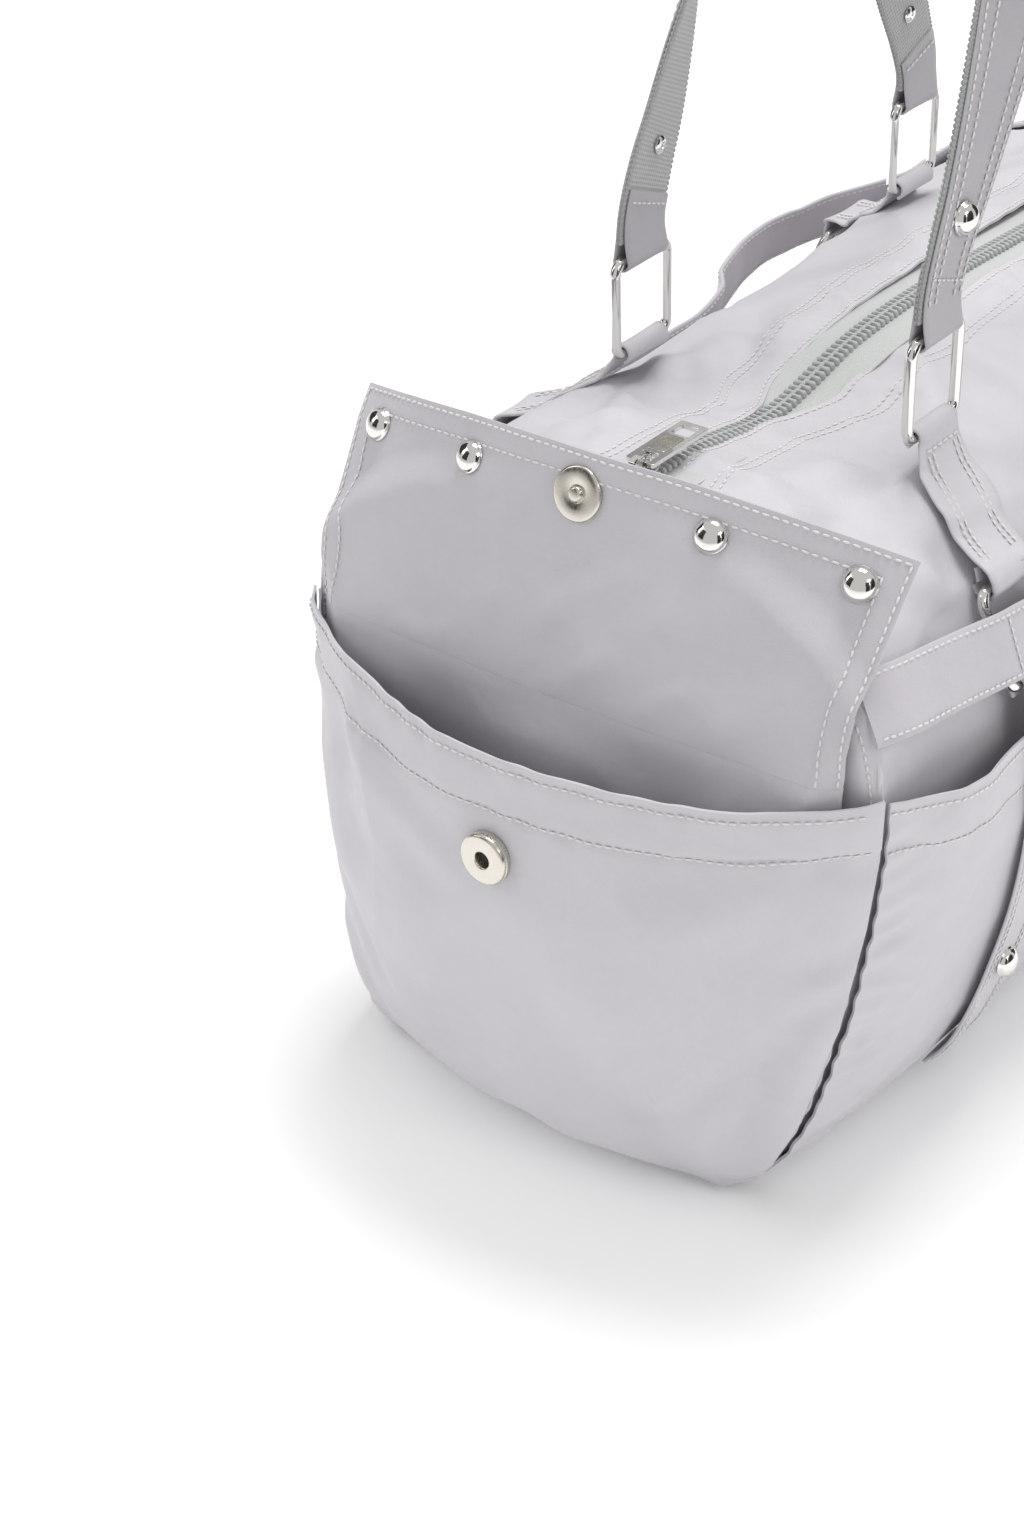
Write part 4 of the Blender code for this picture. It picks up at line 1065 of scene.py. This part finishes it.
def make_side_pocket(side, sx):
    ys = np.linspace(-SEAM_Y, SEAM_Y, 230)
    vs = np.linspace(0, 1, 96)
    p = side_grid(sx, ys, vs, 6.0, 2.0)
    out = outside(p, (sx, 0, 0))
    nrm = grid_normals(p) * out
    y, z = p[..., 1], p[..., 2]
    free = np.minimum(1, (206 - np.abs(y)) / 26.0) * ramp(6, 40, z)
    held = 1 - 0.8 * bell(np.abs(y), SIDE_RING_Y, 13)
    soft = 1.2 * waves(p, 100, 101 + sx) + 0.6 * waves(p, 45, 103)
    d = free * held * (soft + (creases(p, 85, 105, (1, 1, 0.6)) - 0.6))
    end = ramp(0.84, 0.99, np.abs(y) / SEAM_Y)
    d += end * np.cos(z / 5.4 + 2 * waves(p, 40, 107)) * 0.7 * ramp(206, 200, np.abs(y))
    mouth = side_mouth(y) - z
    d += 0.6 * (1 - ramp(18.6, 19.6, mouth)) * free
    d += 0.3 * np.cos(y / 3.0 + 2 * waves(p, 30, 108)) * bell(mouth, 19, 3) * free
    p = p + nrm * d[..., None]
    rng = np.random.default_rng(117 + sx)
    for sy in (-1, 1):
        for at in np.arange(20.0, 172.0, 10.5):
            length, drop, high = rng.uniform(16, 42), rng.uniform(-4, 14), rng.uniform(1.2, 2.6)
            x = sx * surface_x(at, sy * 200, 2.0, sx)
            p = fold(p, nrm, (x, sy * 207, at), (x, sy * (207 - length), at - drop), rng.uniform(2.6, 4.6), high, 0.5)
    piece = cloth(f"side_pocket_cloth_{side}", p, 1.0, NYLON, out)
    in_bag(piece, "nylon", f"side_pocket_{side}")
    nrm = grid_normals(p) * out
    lines = []
    gap = 0.5 * 29.0 / (2 * SEAM_Y)  # the rows stop on either side of a strap
    spans, at = [], 0.004
    for c in (-SIDE_RING_Y, SIDE_RING_Y):
        m = (c + SEAM_Y) / (2 * SEAM_Y)
        spans.append((at, m - gap))
        at = m + gap
    spans.append((at, 0.996))
    for lo, hi in spans:
        for distance in (EDGE_ROW, HEM):
            lines.append(row(p, nrm, 2, distance, lo, hi))
    stitches(f"side_pocket_stitching_{side}", lines, "bag", lift=0.3)


def belt_swell(y, sx):
    """Where the belt's slack gathers: mid-way on the near side, towards the rear on the far side."""
    if sx > 0:
        return math.sin(share((SIDE_RING_Y - 18 - abs(y)) / (SIDE_RING_Y - 18)) * math.pi / 2) ** 1.5
    return math.sin(share((y - 10.0) / 165.0) * math.pi) ** 1.5


def belt_out(y, sx):
    a = abs(y)
    if a > SIDE_RING_Y:
        base = 9.0 - 6.8 * share((a - SIDE_RING_Y - 20.0) / (END_Y - SIDE_RING_Y - 30.0))
    else:
        base = 9.0 - (5.0 * share((SIDE_RING_Y - 18.0 - a) / 30.0) if sx < 0 and y < 40 else 0.0)
    return base + (20.0 if sx > 0 else 17.0) * belt_swell(y, sx)


def make_belt(side, sx):
    ys = np.linspace(-206.3 if sx > 0 else -199.0, 206.3, 210)
    path = []
    slope = []
    for y in ys:
        t = share((abs(y) - SIDE_RING_Y) / (END_Y - SIDE_RING_Y))
        z = 193.0 + 15.0 * t + (8.0 * belt_swell(y, sx) if sx < 0 else 0.0)
        off = belt_out(y, sx)
        loose = share((SIDE_RING_Y - abs(y)) / 50.0) * 0.7
        high, mid, low = (surface_x(z + d, y, off, sx) for d in (11, 0, -11))
        x = mid + 1.0 - 2.2 * float(ramp(196, 207, abs(y)))
        path.append((sx * x, y, z))
        slope.append((sx * (high - low) / 22.0 * (1 - loose), 0.0, 1.0))
    path = np.array(path)
    slope = np.array(slope)
    for _ in range(6):
        path[1:-1, 0] = (path[:-2, 0] + 2 * path[1:-1, 0] + path[2:, 0]) / 4
        slope[1:-1] = (slope[:-2] + 2 * slope[1:-1] + slope[2:]) / 4
    across = unit(slope)
    # the belt takes the darker nylon, as painted shade
    piece = strap(f"belt_cloth_{side}", path, across, 24.0, 1.7, NYLON_SHADED, 0.15, 0.3, 111 + sx)
    in_bag(piece, "nylon", f"belt_{side}")
    normal = np.cross(unit(np.gradient(path, axis=0)), across)
    normal = normal * np.sign((normal[:, 0] * sx).sum())
    lines = []
    for w in (-10.2, 10.2):
        for face in (1, -1):
            lines.append((path + across * w + normal * face * 0.95, normal * face))
    for y0 in (-SIDE_RING_Y - 15, -SIDE_RING_Y + 15, SIDE_RING_Y - 15, SIDE_RING_Y + 15):
        i = int(np.argmin(np.abs(ys - y0)))
        lines.append(cross_row(path[i], across[i], normal[i], 9.5, 1.1, 12))
    stitches(f"belt_stitching_{side}", lines, "bag", lift=0.05)


def side_frame(y):
    low_z = SIDE_RING_TOP - PITCH + 1.2
    top = np.array([surface_x(SIDE_RING_TOP, y, 5.0), SIDE_RING_TOP])
    low = np.array([surface_x(low_z, y, 6.0), low_z])
    up = unit(top - low)
    return top, top - up * PITCH, up


def arc(centre, radius, start, end, steps=8):
    a = np.radians(np.linspace(start, end, steps + 1))
    return [(centre[0] + radius * math.cos(t), centre[1] + radius * math.sin(t)) for t in a]


def strap_lines(path, across, halves, lo, hi, want):
    """Stitch rows along both edges of a strap, on the face that looks along want."""
    lift = 0.85
    tangent = unit(np.gradient(path, axis=0))
    normal = unit(np.cross(tangent, across))
    s = along(path)
    keep = (s >= lo) & (s <= hi)
    sign = np.sign((normal[keep] * np.asarray(want, float)).sum())
    normal = normal * sign
    return [((path + across * w + normal * lift)[keep], normal[keep]) for half in halves for w in (-half, half)]


def make_upper_strap(end, side, sx, sy):
    bar = (RING_X, RING_Z)
    top, _, up = side_frame(SIDE_RING_Y)
    out = math.degrees(math.atan2(up[1], up[0])) - 90
    r = math.radians(out)
    flat = [(bar[0] - 1.0, bar[1] - 3.6), (bar[0] - LOOP_R + 0.4, bar[1] - 2.2)]
    flat += arc(bar, LOOP_R, 180, 0)
    flat += [(bar[0] + LOOP_R + 1.2, 239.6)]
    flat += [(x, surface_z(x, RING_Y, 2.6)) for x in (68, 74, 81, 88)]
    flat += [(top[0] + LOOP_R * math.cos(r) + up[0] * 5, top[1] + LOOP_R * math.sin(r) + up[1] * 5)]
    flat += arc(top, LOOP_R, out, out - 180)
    flat += [(flat[-1][0] + up[0] * 5, flat[-1][1] + up[1] * 5)]
    path = []
    for x, z in flat:
        t = share((x - bar[0] - 3) / (top[0] - bar[0] - 3))
        path.append((sx * x, sy * (RING_Y + (SIDE_RING_Y - RING_Y) * t), z))
    path = smooth_line(path, 1.2)
    s = along(path)
    across = np.tile(Y_AXIS, (len(path), 1))
    flare = 23.5 + 5.5 * np.sin(np.pi * np.clip((s - 18) / 42.0, 0, 1)) ** 1.5
    piece = strap(f"upper_strap_cloth_{end}_{side}", path, across, flare, 1.3, NYLON, 0.1, 0.25, 121 + sx + 3 * sy)
    in_bag(piece, "nylon", f"upper_strap_{end}_{side}")
    want = (sx * 0.6, 0, 0.8)
    lines = strap_lines(path, across, (9.4, 6.6), 20, 66, want)
    i = int(np.argmin(np.abs(s - 19)))
    tangent = unit(np.gradient(path, axis=0))[i]
    normal = unit(np.cross(tangent, Y_AXIS))
    normal *= np.sign((normal * np.array(want)).sum())
    lines.append(cross_row(path[i], Y_AXIS, normal, 10, 0.9, 10))
    stitches(f"upper_strap_stitching_{end}_{side}", lines, "bag", lift=0.05)


def make_lower_strap(end, side, sx, sy):
    _, low, up = side_frame(SIDE_RING_Y)
    out = math.degrees(math.atan2(up[1], up[0])) - 90
    first = arc(low, LOOP_R, out + 180, out)
    flat = [(first[0][0] - up[0] * 4, first[0][1] - up[1] * 4)] + first
    for z in (162, 150, 120, 90, 60, 30, 16, 7):
        flat.append((surface_x(z, SIDE_RING_Y, float(side_out(SIDE_RING_Y, z)) + 4.5, sx), z))
    path = smooth_line([(sx * x, sy * SIDE_RING_Y, z) for x, z in flat], 1.6)
    across = np.tile(Y_AXIS, (len(path), 1))
    piece = strap(f"lower_strap_cloth_{end}_{side}", path, across, 23.5, 1.3, NYLON, 0.1, 0.2, 131 + sx + 3 * sy)
    in_bag(piece, "nylon", f"lower_strap_{end}_{side}")
    s = along(path)
    want = (sx, 0, 0)
    lines = strap_lines(path, across, (10.0, 7.4), 14, s[-1] - 1, want)
    i = int(np.argmin(np.abs(s - 20)))
    lines.append(cross_row(path[i], Y_AXIS, np.array([sx, 0.0, 0.0]), 10, 0.9, 10))
    stitches(f"lower_strap_stitching_{end}_{side}", lines, "bag", lift=0.05)
    lo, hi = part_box(f"lower_stud_{end}_{side}")
    z = (lo[2] + hi[2]) / 2 * 1000
    x = (lo[0] if sx > 0 else hi[0]) * 1000
    foot = (x - sx * 0.6, sy * SIDE_RING_Y, z)
    dome_stud(f"lower_dome_{end}_{side}", foot, (sx, 0, 0), "bag", f"lower_stud_{end}_{side}")


# ---------------------------------------------------------------- shoulder straps
ARCH = ((-84.5, 0.14), (-75.5, 0.22), (-59.0, 0.39), (-45.0, 0.56), (-29.0, 0.77), (-15.5, 0.93), (0.0, 1.0))


class Arch:
    """The shoulder strap's line by distance from its front ring, with its outward normal and width direction."""

    def __init__(self, sx):
        self.sx = sx
        bar = RING_Z + PITCH
        half = [(-RING_Y, bar), (-RING_Y, bar + 9), (1.4 - RING_Y, bar + 17)]
        half += [(y, bar + k * (STRAP_TOP - bar)) for y, k in ARCH]
        full = np.array(half + [(-a, b) for a, b in half[-2::-1]], float)
        dense = catmull(full, np.linspace(0, len(full) - 1, 700))
        self.s = along(dense)
        self.q = dense
        self.t = unit(np.gradient(dense, axis=0))
        self.length = float(self.s[-1])

    def frame(self, s):
        s = np.atleast_1d(np.asarray(s, float))
        c = np.clip(s, 0, self.length)
        y, z = (np.interp(c, self.s, self.q[:, k]) for k in (0, 1))
        ty, tz = (np.interp(c, self.s, self.t[:, k]) for k in (0, 1))
        tangent = unit(np.stack([0 * ty, ty, tz], -1))
        y, z = y + (s - c) * tangent[:, 1], z + (s - c) * tangent[:, 2]
        inner = np.stack([0 * ty, -tangent[:, 2], tangent[:, 1]], -1)
        twist = np.radians(88.0) * ramp(0, 1, (np.minimum(s, self.length - s) - 10.0) / (self.length / 2 - 30.0))
        normal = np.array([self.sx, 0, 0]) * np.cos(twist)[:, None] + inner * np.sin(twist)[:, None]
        return np.stack([0 * y + self.sx * RING_X, y, z], -1), normal, np.cross(tangent, normal)

    def line(self, track):
        track = np.asarray(track, float)
        point, normal, across = self.frame(track[:, 0])
        return point + normal * track[:, 1:2], across


def make_handle(side, sx):
    arch = Arch(sx)
    length = arch.length
    body = f"handle_{side}"
    s = np.arange(6.5, length - 6.4, 2.0)
    path, across = arch.line(np.stack([s, 0 * s], -1))
    webbing = strap(f"strap_webbing_{side}", path, across, 25.2, 1.6, WEBBING)
    # woven edges
    normal = np.cross(unit(np.gradient(path, axis=0)), across)
    lines = [(path + across * w + normal * o, normal * np.sign(o)) for w in (-12.5, 12.5) for o in (-0.35, 0.35)]
    edge = join_meshes(f"strap_selvedge_{side}", beads(lines, 1.9, 1.8, 0.55, 0.9, 0.0, 5), WEBBING)
    # the nylon facing, folded round both rings
    start = [(22.0, -1.7), (18.0, -1.7), (12.0, -1.7), (7.0, -1.95)]
    for a in np.radians(np.linspace(180, 360, 13)):
        start.append((LOOP_R * math.sin(a), LOOP_R * math.cos(a)))
    start += [(7.0, 1.95), (12.0, 1.7)]
    finish_end = [(length - a, b) for a, b in start[::-1]]
    middle = [(a, 1.65) for a in np.arange(16.0, length - 15.9, 3.0)]
    track = smooth_line(start + middle + finish_end, 1.5)
    fpath, facross = arch.line(track)
    # the facing takes the darkest nylon, as painted shade
    facing = strap(f"strap_facing_{side}", fpath, facross, 23.4, 0.95, NYLON_STRAP_SHADED, 0.18, 0.16, 141 + sx)
    place(webbing, body, "webbing", f"handle_webbing_{side}")
    place(edge, body, "webbing")
    place(facing, body, "nylon", f"handle_facing_{side}")
    lines = []
    keep = (track[:, 1] > 1.2) & (track[:, 0] > 10) & (track[:, 0] < length - 10)
    _, fn, fa = arch.frame(track[:, 0])
    for w in (-9.9, -5.9, 5.9, 9.9):
        lines.append(((fpath + fa * w + fn * 0.62)[keep], fn[keep]))
    for at in (18.0, length - 18.0):
        point, n1, a1 = arch.frame(at)
        lines += [cross_row(point, a1, n, 10.4, 2.3, 12) for n in (n1, -n1)]
    stitches(f"strap_stitching_{side}", lines, body, 3.1, 2.5, 0.32, 0.05)
    for i, at in enumerate((38.0, 114.0, length - 114.0, length - 38.0)):
        point, n1, _ = arch.frame(at)
        foot = point[0] + n1[0] * 2.6
        dome_stud(f"strap_dome_{side}_{i + 1}", foot, n1[0], body, f"handle_stud_{side}_{i + 1}", 3.9)


def make_straps():
    top, low, up = side_frame(SIDE_RING_Y)
    mid = (top + low) / 2
    for side, sx in SIDES:
        for end, sy in (("front", -1), ("rear", 1)):
            wire_ring(f"loop_ring_{end}_{side}", (sx * RING_X, sy * RING_Y, RING_Z + PITCH / 2), Y_AXIS, (0, 0, 1),
                      f"ring_{end}_{side}", f"top_ring_{end}_{side}")
            wire_ring(f"belt_ring_{end}_{side}", (sx * mid[0], sy * SIDE_RING_Y, mid[1]), Y_AXIS,
                      (sx * up[0], 0, up[1]), "bag", f"side_ring_{end}_{side}")
            make_upper_strap(end, side, sx, sy)
            make_lower_strap(end, side, sx, sy)
        make_handle(side, sx)
        make_belt(side, sx)
        make_side_pocket(side, sx)


# ---------------------------------------------------------------- studio
def make_studio():
    scene = bpy.context.scene
    scene.view_settings.view_transform = "Standard"
    world = bpy.data.worlds.new("studio")
    scene.world = world
    world.use_nodes = True
    background = world.node_tree.nodes["Background"]
    background.inputs["Color"].default_value = (1.0, 1.0, 1.0, 1)
    background.inputs["Strength"].default_value = 0.64
    floor_material, _, shader = new_material("studio_floor", (0.94, 0.94, 0.94), 0.9, specular=0.1)
    shader.inputs["Emission Color"].default_value = (1, 1, 1, 1)
    shader.inputs["Emission Strength"].default_value = 0.09

    def card(name, corners, material):
        mesh = bpy.data.meshes.new(name)
        mesh.from_pydata(corners, [], [(0, 1, 2, 3)])
        mesh.materials.append(material)
        obj = linked(name, mesh)
        return obj

    card("floor", [(6 * x, 6 * y, -0.0004) for x, y in ((-1, -1), (1, -1), (1, 1), (-1, 1))], floor_material)

    def area(name, where, target, size, power):
        light = bpy.data.lights.new(name, "AREA")
        light.shape = "RECTANGLE"
        light.size, light.size_y = size
        light.energy = power
        obj = linked(name, light)
        obj.location = where
        obj.rotation_euler = (Vector(target) - Vector(where)).to_track_quat("-Z", "Y").to_euler()

    area("key_above", (-0.1, 0.7, 2.6), (0, -0.1, 0.1), (1.3, 1.0), 44.0)
    area("fill_front_left", (-1.7, -1.3, 1.5), (0, -0.1, 0.15), (1.2, 1.2), 9.0)
    area("fill_right", (2.1, -0.5, 1.5), (0, -0.1, 0.15), (1.0, 1.2), 9.0)
    # dark flags that only polished metal sees
    black = new_material("flag", (0.02, 0.02, 0.02), 1.0)[0]
    flags = ((8, 0.62, 0.62), (68, 0.5, 0.62), (128, 0.6, 0.42), (188, 0.55, 0.97), (238, 0.42, 0.97), (330, 0.3, 0.62))
    for k, (angle, wide, high) in enumerate(flags):
        a = math.radians(angle)
        c = Vector((1.5 * math.cos(a), 1.5 * math.sin(a), high))
        t = Vector((-math.sin(a), math.cos(a), 0)) * wide
        up = Vector((0, 0, 0.6))
        flag = card(f"flag_{k}", [c - t - up, c + t - up, c + t + up, c - t + up], black)
        flag.visible_camera = False
        flag.visible_diffuse = False
        flag.visible_shadow = False
        flag.visible_transmission = False

    azimuth, elevation, roll = (math.radians(v) for v in (39.2, 33.5, -2.2))
    level = math.cos(elevation)
    back = Vector((math.sin(azimuth) * level, -math.cos(azimuth) * level, math.sin(elevation)))
    right = Vector((math.cos(azimuth), math.sin(azimuth), 0))
    up = back.cross(right)
    r2 = right * math.cos(roll) + up * math.sin(roll)
    u2 = up * math.cos(roll) - right * math.sin(roll)
    camera = bpy.data.cameras.new("camera")
    camera.sensor_fit = "VERTICAL"
    camera.sensor_height = 24.0
    camera.lens = 24.0 * 2700.0 / 1536.0
    obj = linked("camera", camera)
    matrix = Matrix((r2, u2, back)).transposed().to_4x4()
    matrix.translation = Vector((0.4580, -0.8076, 0.6481))
    obj.matrix_world = matrix
    scene.camera = obj


make_studio()
make_body()
make_end("front_end_cloth", -1, "end_panel_front", False)
make_end("rear_end_cloth", 1, "end_panel_rear", True)
make_welts()
make_zip()
make_slider()
make_pull()
POCKET, POCKET_N = make_end_pocket()
make_pocket_snap(POCKET, POCKET_N)
FLAP, FLAP_N = make_flap()
make_flap_hardware(FLAP, FLAP_N)
make_straps()

bpy.context.view_layer.update()
